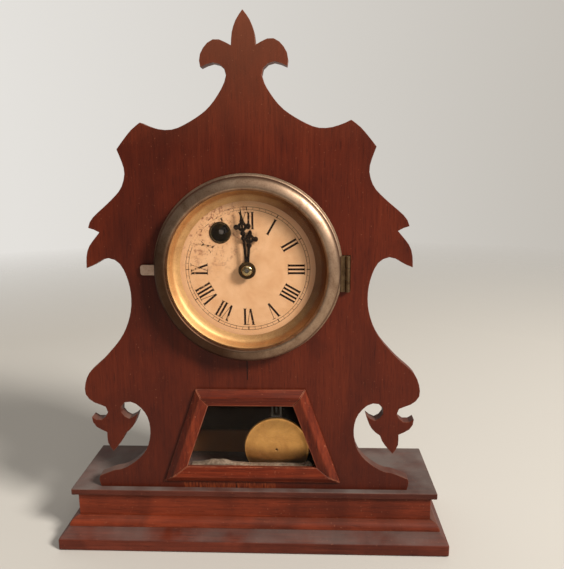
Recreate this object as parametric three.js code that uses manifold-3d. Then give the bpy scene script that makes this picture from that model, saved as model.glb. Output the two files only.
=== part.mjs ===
// Fretwork shelf clock: a scroll-cut front board on a stepped plinth, with a hinged dial bezel,
// a glazed pendulum window, and a spring-driven pendulum movement in a box behind the board.
// Millimetres. X is to the right seen from the front, Y runs from front to back, Z is up.
// Until the last lines, y = 0 is the front face of the front board and x = 0 its centre line.
import * as THREE from "three";
import { mergeVertices } from "three/addons/utils/BufferGeometryUtils.js";
import Module from "manifold-3d";

const wasm = await Module();
wasm.setup();

// ---------------------------------------------------------------- driving dimensions

// Base
const bottomStepSide = 11.2;
const bottomStepFront = 17.6;
const baseRearY = 68.6;
const bottomLipHeight = 9;
const bottomSlopeRise = 4;
const bottomSlopeRunFront = 9.8;
const bottomSlopeRunSide = 4.6;
const plinthHalfWidth = 136.4;
const plinthFrontY = -1.2;
const plinthHeight = 25.1;
const plinthWall = 8;
const topOverhangSide = 4;
const topOverhangFront = 3.9;
const topBoardThickness = 4.9;
const quarterRoundRadius = 6.5;

// Front board and its window
const boardThickness = 9;
const outlineChord = 4.6;
const windowTopHeight = 81;
const windowBottomHeight = 6.4;
const windowTopHalfWidth = 40.7;
const windowBottomHalfWidth = 67.2;
const windowRailWidth = 12.7;
const windowRebate = 2.4;
const mouldingOuterRise = 2;
const mouldingCrownRise = 5.4;
const mouldingInnerRise = 3;
const mouldingCrownStart = 5;
const mouldingCrownWidth = 1.6;
const mouldingLipWidth = 1.5;
const windowGlassThickness = 1.8;
const mitreGap = 0.1;

// Case box behind the board
const caseHalfWidth = 68;
const caseSideThickness = 7;
const movementHeadroom = 3.8;
const caseRearY = 62;
const backThickness = 5;
const backBoardBottom = 118;
const doorClearance = 0.6;
const doorHingeLength = 60;
const doorLeafReach = 6.4;
const knobRadius = 4;
const knobLength = 5.6;
const knobInset = 12;

// Dial, bezel and hands
const dialHeight = 171.2;
const dialRadius = 59;
const dialThickness = 0.8;
const dialOpeningRadius = 46;
const dialCentreHoleRadius = 4.4;
const bezelRadius = 67.5;
const bezelGap = 0.3;
const bezelDepth = 13.2;
const bezelFlangeFace = 1.75;
const bezelSightRadius = 56;
const bezelGlassRadius = 58;
const bezelGlassThickness = 1.5;
const bezelGlassDepth = 9.8;
const sightRadius = 50;
const sightThickness = 0.7;
const sightConeRadius = 52.4;
const sightConeDepth = 4.9;
const sightStepRadius = 53.9;
const sightStepDepth = 5.7;
const windingOffsetX = -19;
const windingOffsetZ = 26.3;
const windingHoleRadius = 6.4;
const grommetRadius = 7.8;
const grommetWall = 0.7;
const handThickness = 0.8;
const hourHandDepth = 2.2;
const minuteHandDepth = 4.3;
const hourHandLength = 29;
const minuteHandLength = 44.6;
const hourHandAngle = 5;
const minuteHandAngle = -5.3;
const hourOrnamentAt = 21.5;
const minuteOrnamentAt = 30;
const hourBossRadius = 5.2;
const minuteBossRadius = 4;
const handNutRadius = 6.2;
const handNutDepth = 2.5;

// Bezel hinge and tab
const hingeAxisX = 70.9;
const hingeAxisDepth = 2.4;
const hingeCentreDrop = 3.2;
const hingeLength = 25.6;
const hingeBarrelRadius = 1.8;
const hingePinRadius = 0.8;
const leafThickness = 0.8;
const bezelLeafReach = 4.6;
const boardLeafReach = 5;
const tabOuterX = 77;
const tabHeight = 7.6;

// Movement: planes along Y, tooth counts and distances
const frontPlateY = 28;
const backPlateY = 48.5;
const plateThickness = 1.5;
const plateLeft = -51;
const plateRight = 43;
const plateBottomDrop = 27;
const plateTopRise = 61;
const pillarInset = 6;
const pillarRadius = 3;
const pivotClearance = 0.15;
const arborRadius = 0.9;
const centreArborRadius = 1.5;
const centrePipeRadius = 2.6;
const hourPipeRadius = 3.4;
const wheelThickness = 1.1;
const mainWheelTeeth = 72;
const centrePinionTeeth = 12;
const centreWheelTeeth = 72;
const thirdPinionTeeth = 6;
const thirdWheelTeeth = 68;
const escapePinionTeeth = 6;
const escapeTeeth = 30;
const cannonTeeth = 12;
const minuteWheelTeeth = 36;
const minutePinionTeeth = 10;
const hourWheelTeeth = 40;
const centreThirdDistance = 23.4;
const thirdEscapeDistance = 19.24;
const motionDistance = 14.4;
const escapeThirdShift = 3.5;
const escapeRadius = 15;
const escapeVergeDistance = 22.1;
const ratchetTeeth = 24;
const ratchetRadius = 9;
const clickPostRadius = 14;
const mainspringInner = 4.6;
const mainspringPitch = 2.2;
const mainspringTurns = 6;
const mainspringThickness = 0.5;
const mainspringWidth = 9;

// Pendulum
const pendulumX = 18.5;
const pendulumY = 14;
const bobClearance = 1.3;
const pendulumSwing = 3;
const rodRadius = 0.7;
const rodThreadLength = 26;
const springThickness = 0.3;
const springLength = 18;
const bobRadius = 25.5;
const bobThickness = 7;
const stirrupHalfWidth = 3.3;
const stirrupHeight = 30;
const stirrupWire = 0.6;

// Clearances
const runningGap = 0.3;
const roundSegments = 48;

// ---------------------------------------------------------------- sizes that follow

const bottomHalfWidth = plinthHalfWidth + bottomStepSide;
const bottomFrontY = plinthFrontY - bottomStepFront;
const caseHeight = dialHeight + plateTopRise + movementHeadroom + caseSideThickness;
const slopeTop = bottomLipHeight + bottomSlopeRise;
const plinthTop = slopeTop + plinthHeight;
const baseTop = plinthTop + topBoardThickness;
const dialZ = baseTop + dialHeight;
const caseInside = caseHalfWidth - caseSideThickness;
const backInsideY = caseRearY - backThickness;

// ---------------------------------------------------------------- materials

const wood = (colour) => () =>
  new THREE.MeshStandardMaterial({ color: colour, roughness: 0.55, metalness: 0 });
const metal = (colour, roughness) => () =>
  new THREE.MeshStandardMaterial({ color: colour, roughness, metalness: 1 });
const mahogany = wood(0x64301f);
const darkMahogany = wood(0x4a2219);
const redMahogany = wood(0x7a3824);
const pine = wood(0x8a6a45);
const brass = metal(0xb59a5c, 0.4);
const agedBrass = metal(0x968770, 0.45);
const gilt = metal(0xc8a05a, 0.3);
const steel = metal(0x8d8f92, 0.35);
const blackSteel = metal(0x241f1c, 0.5);
const paper = () =>
  new THREE.MeshStandardMaterial({ color: 0xebbe8c, roughness: 0.85, metalness: 0 });
const clearGlass = () =>
  new THREE.MeshStandardMaterial({
    color: 0xdfe6e2,
    roughness: 0.05,
    metalness: 0,
    transparent: true,
    opacity: 0.25,
  });

// ---------------------------------------------------------------- geometry helpers

/** A geometry as a solid: only positions are kept and shared corners are merged. */
function solidOf(geometry) {
  const bare = geometry.clone();
  bare.deleteAttribute("normal");
  bare.deleteAttribute("uv");
  const merged = mergeVertices(bare, 1e-4);
  const index = merged.index.array;
  const kept = [];
  for (let i = 0; i < index.length; i += 3) {
    const [a, b, c] = [index[i], index[i + 1], index[i + 2]];
    if (a !== b && b !== c && a !== c) kept.push(a, b, c);
  }
  const mesh = new wasm.Mesh({
    numProp: 3,
    vertProperties: new Float32Array(merged.attributes.position.array),
    triVerts: new Uint32Array(kept),
  });
  return new wasm.Manifold(mesh);
}

/** A solid as a flat-shaded geometry. */
function geometryOf(solid) {
  const mesh = solid.getMesh();
  const geometry = new THREE.BufferGeometry();
  const positions = new THREE.BufferAttribute(new Float32Array(mesh.vertProperties), 3);
  geometry.setAttribute("position", positions);
  geometry.setIndex(new THREE.BufferAttribute(new Uint32Array(mesh.triVerts), 1));
  geometry.computeVertexNormals();
  return geometry;
}

const union = (first, ...rest) =>
  geometryOf(rest.reduce((sum, g) => sum.add(solidOf(g)), solidOf(first)));
const cut = (body, ...tools) =>
  geometryOf(tools.reduce((left, g) => left.subtract(solidOf(g)), solidOf(body)));

/** A box between two corners. */
function block(x0, x1, y0, y1, z0, z1) {
  const geometry = new THREE.BoxGeometry(x1 - x0, y1 - y0, z1 - z0);
  return geometry.translate((x0 + x1) / 2, (y0 + y1) / 2, (z0 + z1) / 2);
}

/** A shape drawn in X and Z, given a thickness along Y from y0. */
function slab(shape, y0, thickness) {
  const geometry = new THREE.ExtrudeGeometry(shape, {
    depth: thickness,
    bevelEnabled: false,
    curveSegments: 12,
  });
  return geometry.rotateX(Math.PI / 2).translate(0, y0 + thickness, 0);
}

/** A profile of [radius, y] points turned about the Y axis, in either order. */
function turned(profile, segments = roundSegments) {
  let area = 0;
  profile.forEach(([r, y], i) => {
    const [r2, y2] = profile[(i + 1) % profile.length];
    area += r * y2 - r2 * y;
  });
  const ordered = area > 0 ? profile : [...profile].reverse();
  const points = ordered.map(([r, y]) => new THREE.Vector2(r, y));
  if (ordered[0][0] > 0) points.push(points[0].clone());
  return new THREE.LatheGeometry(points, segments);
}

/** A round bar along Y, by radius and its two ends. */
const bar = (radius, y0, y1, segments = 16) =>
  turned(
    [
      [0, y0],
      [radius, y0],
      [radius, y1],
      [0, y1],
    ],
    segments,
  );

/** A flat ring along Y. */
const ringBar = (outer, inner, y0, y1, segments = 32) =>
  turned(
    [
      [outer, y0],
      [outer, y1],
      [inner, y1],
      [inner, y0],
    ],
    segments,
  );

const polygon = (points) => new THREE.Shape(points.map(([x, z]) => new THREE.Vector2(x, z)));

function circleHole(x, z, radius) {
  const path = new THREE.Path();
  path.absarc(x, z, radius, 0, 2 * Math.PI, true);
  return path;
}

/** A mesh with its own material, in a group. */
function place(group, name, geometry, material, x = 0, y = 0, z = 0) {
  const mesh = new THREE.Mesh(geometry, material());
  mesh.name = name;
  mesh.position.set(x, y, z);
  group.add(mesh);
  return mesh;
}

function subGroup(parent) {
  const group = new THREE.Group();
  parent.add(group);
  return group;
}

// ---------------------------------------------------------------- base

function buildBase(parent) {
  const base = subGroup(parent);
  place(base, "bottom_board", bottomBoard(), darkMahogany);

  const rearY = baseRearY;
  const innerX = plinthHalfWidth - plinthWall;
  const [z0, z1] = [slopeTop, plinthTop];
  const frontInside = plinthFrontY + plinthWall;
  const rearInside = rearY - plinthWall;
  const front = block(-plinthHalfWidth, plinthHalfWidth, plinthFrontY, frontInside, z0, z1);
  place(base, "plinth_front", front, mahogany);
  const back = block(-innerX, innerX, rearInside, rearY, z0, z1);
  place(base, "plinth_back", back, mahogany);
  const left = block(-plinthHalfWidth, -innerX, frontInside, rearY, z0, z1);
  place(base, "plinth_left", left, mahogany);
  const right = block(innerX, plinthHalfWidth, frontInside, rearY, z0, z1);
  place(base, "plinth_right", right, mahogany);

  const halfTop = plinthHalfWidth + topOverhangSide;
  const topFront = plinthFrontY - topOverhangFront;
  const top = block(-halfTop, halfTop, topFront, rearY, plinthTop, baseTop);
  place(base, "top_board", top, darkMahogany);

  place(base, "base_moulding_front", frontMoulding(), mahogany);
  place(base, "base_moulding_left", sideMoulding(-1), mahogany);
  place(base, "base_moulding_right", sideMoulding(1), mahogany);
}

/** Bottom board: an upright lip, then a slope up to the plinth at the front and both ends. */
function bottomBoard() {
  const foot = [
    [-bottomHalfWidth, bottomFrontY],
    [bottomHalfWidth, bottomFrontY],
    [bottomHalfWidth, baseRearY],
    [-bottomHalfWidth, baseRearY],
  ];
  const crownX = bottomHalfWidth - bottomSlopeRunSide;
  const crownY = bottomFrontY + bottomSlopeRunFront;
  const crown = [
    [-crownX, crownY],
    [crownX, crownY],
    [crownX, baseRearY],
    [-crownX, baseRearY],
  ];
  return stack([
    [foot, 0],
    [foot, bottomLipHeight],
    [crown, slopeTop],
  ]);
}

/** A closed solid through four-cornered rings [[x, y] x 4, z], lowest first. */
function stack(rings) {
  const positions = [];
  rings.forEach(([ring, z]) => ring.forEach(([x, y]) => positions.push(x, y, z)));
  const index = [0, 2, 1, 0, 3, 2];
  for (let level = 0; level + 1 < rings.length; level++) {
    for (let side = 0; side < 4; side++) {
      const a = 4 * level + side;
      const b = 4 * level + ((side + 1) % 4);
      index.push(a, b, b + 4, a, b + 4, a + 4);
    }
  }
  const last = 4 * (rings.length - 1);
  index.push(last, last + 1, last + 2, last, last + 2, last + 3);
  const geometry = new THREE.BufferGeometry();
  geometry.setAttribute("position", new THREE.Float32BufferAttribute(positions, 3));
  geometry.setIndex(index);
  geometry.computeVertexNormals();
  return geometry;
}

/** Quarter-round section as [distance out from the plinth, height above the bottom board]. */
function quarterRoundSection() {
  const steps = 6;
  const points = [[0, 0]];
  for (let i = 0; i <= steps; i++) {
    const angle = (i / steps) * (Math.PI / 2);
    points.push([quarterRoundRadius * Math.cos(angle), quarterRoundRadius * Math.sin(angle)]);
  }
  return points;
}

/** Joins a start and an end ring of the same count of points into one closed prism. */
function prism(start, end) {
  const count = start.length;
  const flat = THREE.ShapeUtils.triangulateShape(
    start.map((p) => p.flatPoint),
    [],
  );
  const positions = [];
  [...start, ...end].forEach((p) => positions.push(p.x, p.y, p.z));
  const index = [];
  flat.forEach(([a, b, c]) => {
    index.push(c, b, a);
    index.push(a + count, b + count, c + count);
  });
  for (let i = 0; i < count; i++) {
    const j = (i + 1) % count;
    index.push(i, j, j + count, i, j + count, i + count);
  }
  const geometry = new THREE.BufferGeometry();
  geometry.setAttribute("position", new THREE.Float32BufferAttribute(positions, 3));
  geometry.setIndex(index);
  geometry.computeVertexNormals();
  return solidOf(geometry).volume() < 0 ? flipped(geometry) : geometry;
}

function flipped(geometry) {
  const index = geometry.index.array;
  for (let i = 0; i < index.length; i += 3) {
    [index[i], index[i + 1]] = [index[i + 1], index[i]];
  }
  geometry.computeVertexNormals();
  return geometry;
}

const ringPoint = (x, y, z, section) => ({
  x,
  y,
  z,
  flatPoint: new THREE.Vector2(section[0], section[1]),
});

/** The front moulding, mitred at both ends. */
function frontMoulding() {
  const end = (side) =>
    quarterRoundSection().map((s) => {
      const x = side * (plinthHalfWidth + s[0] - mitreGap / 2);
      return ringPoint(x, plinthFrontY - s[0], slopeTop + s[1], s);
    });
  return prism(end(-1), end(1));
}

/** A side moulding, mitred at the front and square at the back. */
function sideMoulding(side) {
  const section = quarterRoundSection();
  const front = section.map((s) => {
    const y = plinthFrontY - s[0] + mitreGap / 2;
    return ringPoint(side * (plinthHalfWidth + s[0]), y, slopeTop + s[1], s);
  });
  const rear = section.map((s) =>
    ringPoint(side * (plinthHalfWidth + s[0]), baseRearY, slopeTop + s[1], s),
  );
  return prism(front, rear);
}

// ---------------------------------------------------------------- front board

// The right half of the outline, from the foot up, as smooth runs that meet at sharp corners.
// Each point is [distance from the centre line, height above the foot].
const outlineRuns = [
  // foot, and the round opening up to the neck of the hanging leaf
  [[118, 0], [119.3, 5.5], [118.6, 9]],
  [
    [118.6, 9], [107, 13.7], [98.3, 15.8], [86, 24.7], [79.4, 34.7], [77.1, 47.7],
    [79.5, 59.6], [86.7, 68.1], [93.6, 70], [98, 67], [98.6, 61.8],
  ],
  // hanging leaf: inner lobe, drop, outer lobe
  [[98.6, 61.8], [95, 57.2], [91, 56.9], [85.8, 60.9]],
  [[85.8, 60.9], [88.8, 52.8], [92, 48], [96.7, 44.4]],
  [[96.7, 44.4], [98.4, 40], [102, 34.8], [106.5, 29.8]],
  [[106.5, 29.8], [110.3, 36.5], [110.5, 45.2]],
  [[110.5, 45.2], [117.5, 48.8], [120.6, 52.5], [121.5, 57.6]],
  [[121.5, 57.6], [118, 55.4], [114, 55.4], [110.6, 58], [108.8, 61.5]],
  // scroll, waist and the hook over it
  [
    [108.8, 61.5], [110.5, 66], [114.8, 67.7], [121.5, 71], [125.3, 78.5], [121, 92.5],
    [107, 106], [94, 121.5], [87.2, 137.5], [85.6, 152], [87.8, 165.5], [93, 176],
    [101.5, 179.5], [111, 174.6], [116.8, 172.2],
  ],
  [[116.8, 172.2], [116.2, 181], [113.6, 188.4], [105.7, 198]],
  // beak and upper hollow
  [[105.7, 198], [107.8, 199.4], [113.6, 201.3]],
  [
    [113.6, 201.3], [110.2, 208.1], [96.6, 220], [88.4, 228.7], [85.1, 238.5],
    [86, 245.5], [89.6, 255.6],
  ],
  [[89.6, 255.6], [84.5, 261.9], [78.6, 268.5], [72.2, 273.4]],
  // shoulder hollow, and the neck and leaf of the finial
  [
    [72.2, 273.4], [65, 270.3], [55, 268.2], [44.4, 270.2], [27, 280.4], [16.5, 292.9],
    [12, 303.3], [14.8, 309.3], [21.1, 311.5], [29.2, 308.6],
  ],
  [[29.2, 308.6], [29.6, 315.7], [24.6, 323.5], [17.6, 326.3], [8.2, 322.2]],
  [[8.2, 322.2], [7.4, 330.4], [4.6, 338], [0, 344.3]],
];

/** A run as points, with about one chord length between them; its last point is left out. */
function runPoints(run) {
  const curve = new THREE.SplineCurve(run.map(([x, z]) => new THREE.Vector2(x, z)));
  const steps = Math.max(2, Math.ceil(curve.getLength() / outlineChord));
  return curve.getSpacedPoints(steps).slice(0, -1);
}

function boardOutline() {
  const right = outlineRuns.flatMap(runPoints);
  const left = right.map((p) => new THREE.Vector2(-p.x, p.y)).reverse();
  const tip = outlineRuns.at(-1).at(-1);
  const points = [...right, new THREE.Vector2(tip[0], tip[1]), ...left];
  return new THREE.Shape(points.map((p) => new THREE.Vector2(p.x, p.y + baseTop)));
}

/** Corners of the window outline, moved in by an inset: top left, top right, bottom right, left. */
function windowCorners(inset) {
  const rise = windowTopHeight - windowBottomHeight;
  const run = windowBottomHalfWidth - windowTopHalfWidth;
  const sideShift = (inset * Math.hypot(rise, run)) / rise;
  const slope = run / rise;
  const top = windowTopHeight - inset;
  const bottom = windowBottomHeight + inset;
  const halfAt = (height) => windowTopHalfWidth + (windowTopHeight - height) * slope - sideShift;
  return [
    [-halfAt(top), baseTop + top],
    [halfAt(top), baseTop + top],
    [halfAt(bottom), baseTop + bottom],
    [-halfAt(bottom), baseTop + bottom],
  ];
}

const windowCutInset = windowRailWidth - windowRebate;

function buildFrontBoard(parent) {
  const board = subGroup(parent);
  const shape = boardOutline();
  shape.holes.push(circleHole(0, dialZ, dialOpeningRadius));
  const corners = windowCorners(windowCutInset).map(([x, z]) => new THREE.Vector2(x, z));
  shape.holes.push(new THREE.Path(corners.reverse()));
  const hingeZ = dialZ - hingeCentreDrop;
  const half = hingeLength / 2 + bezelGap / 2;
  const recess = block(
    hingeAxisX - boardLeafReach - bezelGap,
    hingeAxisX + hingeBarrelRadius + bezelGap,
    -1,
    leafThickness,
    hingeZ - half,
    hingeZ + half,
  );
  place(board, "front_board", cut(slab(shape, 0, boardThickness), recess), mahogany);

  // Moulding section as [inset from the window outline, height proud of the board]
  const section = [
    [0, 0],
    [windowRailWidth, 0],
    [windowRailWidth, mouldingInnerRise],
    [windowRailWidth - mouldingLipWidth, mouldingInnerRise],
    [mouldingCrownStart + mouldingCrownWidth, mouldingCrownRise],
    [mouldingCrownStart, mouldingCrownRise],
    [0, mouldingOuterRise],
  ];
  const names = ["top", "right", "bottom", "left"];
  names.forEach((name, side) => {
    const along = [side, (side + 1) % 4].map(
      (corner) => new THREE.Vector2(...windowCorners(0)[corner]),
    );
    const step = along[1].clone().sub(along[0]).setLength(mitreGap);
    const ends = [side, (side + 1) % 4].map((corner, end) =>
      section.map(([inset, proud]) => {
        const [x, z] = windowCorners(inset)[corner];
        const shift = end === 0 ? 1 : -1;
        return ringPoint(x + shift * step.x, -proud, z + shift * step.y, [inset, proud]);
      }),
    );
    place(board, "window_moulding_" + name, prism(ends[0], ends[1]), redMahogany);
  });

  const pane = polygon(windowCorners(windowCutInset + runningGap));
  place(board, "window_glass", slab(pane, 0, windowGlassThickness), clearGlass);
}

// ---------------------------------------------------------------- case box and back door

function buildCase(parent) {
  const box = subGroup(parent);
  const caseTop = baseTop + caseHeight;
  [-1, 1].forEach((side) => {
    const [x0, x1] = [side * caseHalfWidth, side * caseInside].sort((a, b) => a - b);
    const wall = block(x0, x1, boardThickness, caseRearY, baseTop, caseTop);
    place(box, side < 0 ? "case_side_left" : "case_side_right", wall, mahogany);
  });
  const topZ = caseTop - caseSideThickness;
  const lid = block(-caseInside, caseInside, boardThickness, caseRearY, topZ, caseTop);
  place(box, "case_top", lid, mahogany);
  const backZ = baseTop + backBoardBottom;
  const back = block(-caseInside, caseInside, backInsideY, caseRearY, backZ, topZ);
  place(box, "back_board", back, pine);

  const door = subGroup(parent);
  const doorX = caseInside - doorClearance;
  const doorTop = backZ - doorClearance;
  const panel = block(-doorX, doorX, backInsideY, caseRearY, baseTop + doorClearance, doorTop);
  place(door, "back_door", panel, pine);
  const neckRadius = knobRadius / 2;
  const knob = turned(
    [
      [0, caseRearY],
      [neckRadius + 0.4, caseRearY],
      [neckRadius, caseRearY + 0.3 * knobLength],
      [knobRadius, caseRearY + 0.55 * knobLength],
      [knobRadius, caseRearY + 0.8 * knobLength],
      [0.65 * knobRadius, caseRearY + 0.96 * knobLength],
      [0, caseRearY + knobLength],
    ],
    20,
  );
  const knobZ = (baseTop + doorTop) / 2;
  place(door, "back_door_knob", knob, brass, -doorX + knobInset, 0, knobZ);

  const hinge = {
    x: caseInside,
    y: caseRearY + hingeBarrelRadius,
    z: knobZ,
    length: doorHingeLength,
    leafReach: doorLeafReach,
    leafFaceY: caseRearY,
    outward: 1,
  };
  place(box, "case_hinge_leaf", hingeLeaf(hinge, 1, true), brass);
  place(door, "door_hinge_leaf", hingeLeaf(hinge, -1, false), brass);
  place(box, "door_hinge_pin", hingePin(hinge), steel);
}

/** A bar along Z. */
function uprightBar(x, y, z0, z1, radius, segments = 16) {
  const geometry = bar(radius, z0, z1, segments);
  return geometry.rotateX(Math.PI / 2).translate(x, y, 0);
}

/**
 * One leaf of an upright butt hinge with its knuckles: the outer two, or the middle one.
 * side is -1 for a leaf that reaches to -X. The leaf lies on the face leafFaceY.
 */
function hingeLeaf(hinge, side, outerKnuckles) {
  const { x, y, z, length, leafReach, leafFaceY, outward } = hinge;
  const knuckle = length / 3;
  const gap = bezelGap / 2;
  const spans = outerKnuckles
    ? [
        [z - length / 2, z - knuckle / 2 - gap],
        [z + knuckle / 2 + gap, z + length / 2],
      ]
    : [[z - knuckle / 2 + gap, z + knuckle / 2 - gap]];
  const faceY = [leafFaceY, leafFaceY + outward * leafThickness].sort((a, b) => a - b);
  const reach = [x + side * gap, x + side * leafReach].sort((a, b) => a - b);
  const clear = hingeBarrelRadius + gap;
  const plate = block(reach[0], reach[1], faceY[0], faceY[1], z - length / 2, z + length / 2);
  let leaf = solidOf(plate);
  // the plate stops short of the other leaf's knuckles
  const others = outerKnuckles
    ? [[z - knuckle / 2 - gap, z + knuckle / 2 + gap]]
    : [
        [z - length / 2 - 1, z - knuckle / 2 + gap],
        [z + knuckle / 2 - gap, z + length / 2 + 1],
      ];
  others.forEach(([z0, z1]) => {
    leaf = leaf.subtract(solidOf(block(x - clear, x + clear, y - clear, y + clear, z0, z1)));
  });
  spans.forEach(([z0, z1]) => {
    leaf = leaf.add(solidOf(uprightBar(x, y, z0, z1, hingeBarrelRadius)));
  });
  const bore = uprightBar(x, y, z - length, z + length, hingePinRadius + pivotClearance);
  return geometryOf(leaf.subtract(solidOf(bore)));
}

const hingePin = ({ x, y, z, length }) =>
  uprightBar(x, y, z - length / 2, z + length / 2, hingePinRadius, 12);

// ---------------------------------------------------------------- dial and bezel

function buildDial(parent) {
  const dial = subGroup(parent);
  const disc = new THREE.Shape();
  disc.absarc(0, 0, dialRadius, 0, 2 * Math.PI, false);
  disc.holes.push(circleHole(0, 0, dialCentreHoleRadius));
  const holeRadius = grommetRadius - grommetWall - runningGap / 2;
  disc.holes.push(circleHole(windingOffsetX, windingOffsetZ, holeRadius));
  const plate = new THREE.ExtrudeGeometry(disc, {
    depth: dialThickness,
    bevelEnabled: false,
    curveSegments: 30,
  });
  plate.rotateX(Math.PI / 2);
  place(dial, "dial_plate", plate, paper, 0, 0, dialZ);

  const face = -dialThickness;
  const grommet = turned(
    [
      [grommetRadius, face],
      [grommetRadius - 0.3, face - 0.5],
      [windingHoleRadius + 0.2, face - 0.5],
      [windingHoleRadius, face],
    ],
    32,
  );
  place(dial, "winding_grommet", grommet, brass, windingOffsetX, 0, dialZ + windingOffsetZ);
}

function buildBezel(parent) {
  const bezel = subGroup(parent);
  const lipRadius = bezelSightRadius;
  const pocket = bezelGlassRadius + runningGap;
  const flange = bezelRadius - 1.6;
  // [radius, depth in front of the board], round the section
  const section = [
    [bezelRadius, bezelGap],
    [bezelRadius, 1.5],
    [flange - 0.4, 1.8],
    [flange - 0.2, 4.4],
    [flange - 0.6, 7.4],
    [flange - 1.9, 10.4],
    [flange - 4.1, bezelDepth - 0.5],
    [flange - 6.7, bezelDepth],
    [lipRadius + 1.2, bezelDepth - 1],
    [lipRadius, bezelGlassDepth + 0.8],
    [lipRadius, bezelGlassDepth],
    [pocket, bezelGlassDepth],
    [pocket, bezelGlassDepth - 3.2],
    [flange - 3, 6],
    [flange - 1.6, 2],
    [flange - 1.6, bezelGap],
  ];
  const ring = turned(section.map(([r, depth]) => [r, -depth]), 60);
  place(bezel, "bezel_ring", ring, agedBrass, 0, 0, dialZ);

  const glassBack = bezelGlassDepth - bezelGlassThickness;
  const glass = bar(bezelGlassRadius, -bezelGlassDepth, -glassBack, 60);
  place(bezel, "bezel_glass", glass, clearGlass, 0, 0, dialZ);

  const rim = bezelGlassRadius;
  const foot = dialThickness + bezelGap;
  const sight = [
    [rim, glassBack],
    [lipRadius - 0.4, glassBack],
    [sightStepRadius, sightStepDepth],
    [sightConeRadius, sightConeDepth],
    [sightRadius, foot],
    [sightRadius + sightThickness, foot],
    [sightConeRadius + 0.6, sightConeDepth - sightThickness],
    [sightStepRadius + 0.6, sightStepDepth - 0.1 - sightThickness],
    [lipRadius, glassBack - sightThickness],
    [rim, glassBack - sightThickness],
  ];
  const sightRing = turned(sight.map(([r, depth]) => [r, -depth]), 48);
  place(bezel, "sight_ring", sightRing, gilt, 0, 0, dialZ);

  const hinge = {
    x: hingeAxisX,
    y: -hingeAxisDepth,
    z: dialZ - hingeCentreDrop,
    length: hingeLength,
    leafReach: bezelLeafReach,
    leafFaceY: -bezelFlangeFace,
    outward: -1,
  };
  place(bezel, "bezel_hinge_leaf", hingeLeaf(hinge, -1, false), agedBrass);
  const fixed = { ...hinge, leafFaceY: leafThickness, leafReach: boardLeafReach };
  place(parent, "board_hinge_leaf", boardHingeLeaf(fixed), agedBrass);
  place(parent, "bezel_hinge_pin", hingePin(hinge), steel);

  const tab = new THREE.Shape();
  const half = tabHeight / 2;
  const inner = -(bezelRadius - 1.3);
  tab.moveTo(inner, -half);
  tab.lineTo(inner, half);
  tab.lineTo(-tabOuterX + half * 0.6, half);
  tab.quadraticCurveTo(-tabOuterX, half, -tabOuterX, half * 0.4);
  tab.lineTo(-tabOuterX, -half * 0.4);
  tab.quadraticCurveTo(-tabOuterX, -half, -tabOuterX + half * 0.6, -half);
  tab.lineTo(inner, -half);
  const tabPlate = slab(tab, -bezelFlangeFace - leafThickness, leafThickness);
  place(bezel, "bezel_tab", tabPlate, brass, 0, 0, dialZ);
}

/** The fixed leaf lies in a recess of the board, under the bezel, and rises to the outer knuckles. */
function boardHingeLeaf(hinge) {
  const { x, y, z, length, leafReach } = hinge;
  const knuckle = length / 3;
  const gap = bezelGap / 2;
  const [z0, z1] = [z - length / 2, z + length / 2];
  const right = x + hingeBarrelRadius;
  let leaf = solidOf(block(x - leafReach, right, 0, leafThickness, z0, z1));
  const spans = [
    [z0, z - knuckle / 2 - gap],
    [z + knuckle / 2 + gap, z1],
  ];
  spans.forEach(([low, high]) => {
    leaf = leaf.add(solidOf(uprightBar(x, y, low, high, hingeBarrelRadius)));
    leaf = leaf.add(solidOf(block(x + 0.4, right, y, leafThickness, low, high)));
  });
  const bore = uprightBar(x, y, z - length, z + length, hingePinRadius + pivotClearance);
  return geometryOf(leaf.subtract(solidOf(bore)));
}

// ---------------------------------------------------------------- wheels

const FULL_TURN = 2 * Math.PI;

/** A toothed outline in X and Z about the origin; phase is the angle of a tooth's centre. */
function gearShape(teeth, module, phase, form) {
  const pitchRadius = (module * teeth) / 2;
  const tip = pitchRadius + form.addendum * module;
  const root = pitchRadius - form.dedendum * module;
  const step = FULL_TURN / teeth;
  const points = [];
  for (let i = 0; i < teeth; i++) {
    const centre = phase + i * step;
    const corners = [
      [root, -form.rootHalf],
      [tip, -form.tipHalf],
      [tip, form.tipHalf],
      [root, form.rootHalf],
    ];
    corners.forEach(([radius, share]) => {
      const angle = centre + share * step;
      points.push(new THREE.Vector2(radius * Math.cos(angle), radius * Math.sin(angle)));
    });
  }
  return new THREE.Shape(points);
}

const wheelForm = { addendum: 1, dedendum: 1.35, rootHalf: 0.26, tipHalf: 0.07 };
const pinionForm = { addendum: 0.75, dedendum: 1.5, rootHalf: 0.16, tipHalf: 0.12 };

/** The phase that puts wheel B in mesh with wheel A, whose centre lies at angle -direction. */
function meshPhase(teethA, phaseA, direction, teethB) {
  const share = (teethA * (direction - phaseA)) / FULL_TURN;
  return direction + Math.PI - (FULL_TURN / teethB) * (0.5 - share);
}

function gear(teeth, module, phase, form, y0, thickness, boreRadius) {
  const shape = gearShape(teeth, module, phase, form);
  if (boreRadius > 0) shape.holes.push(circleHole(0, 0, boreRadius));
  return slab(shape, y0, thickness);
}

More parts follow.
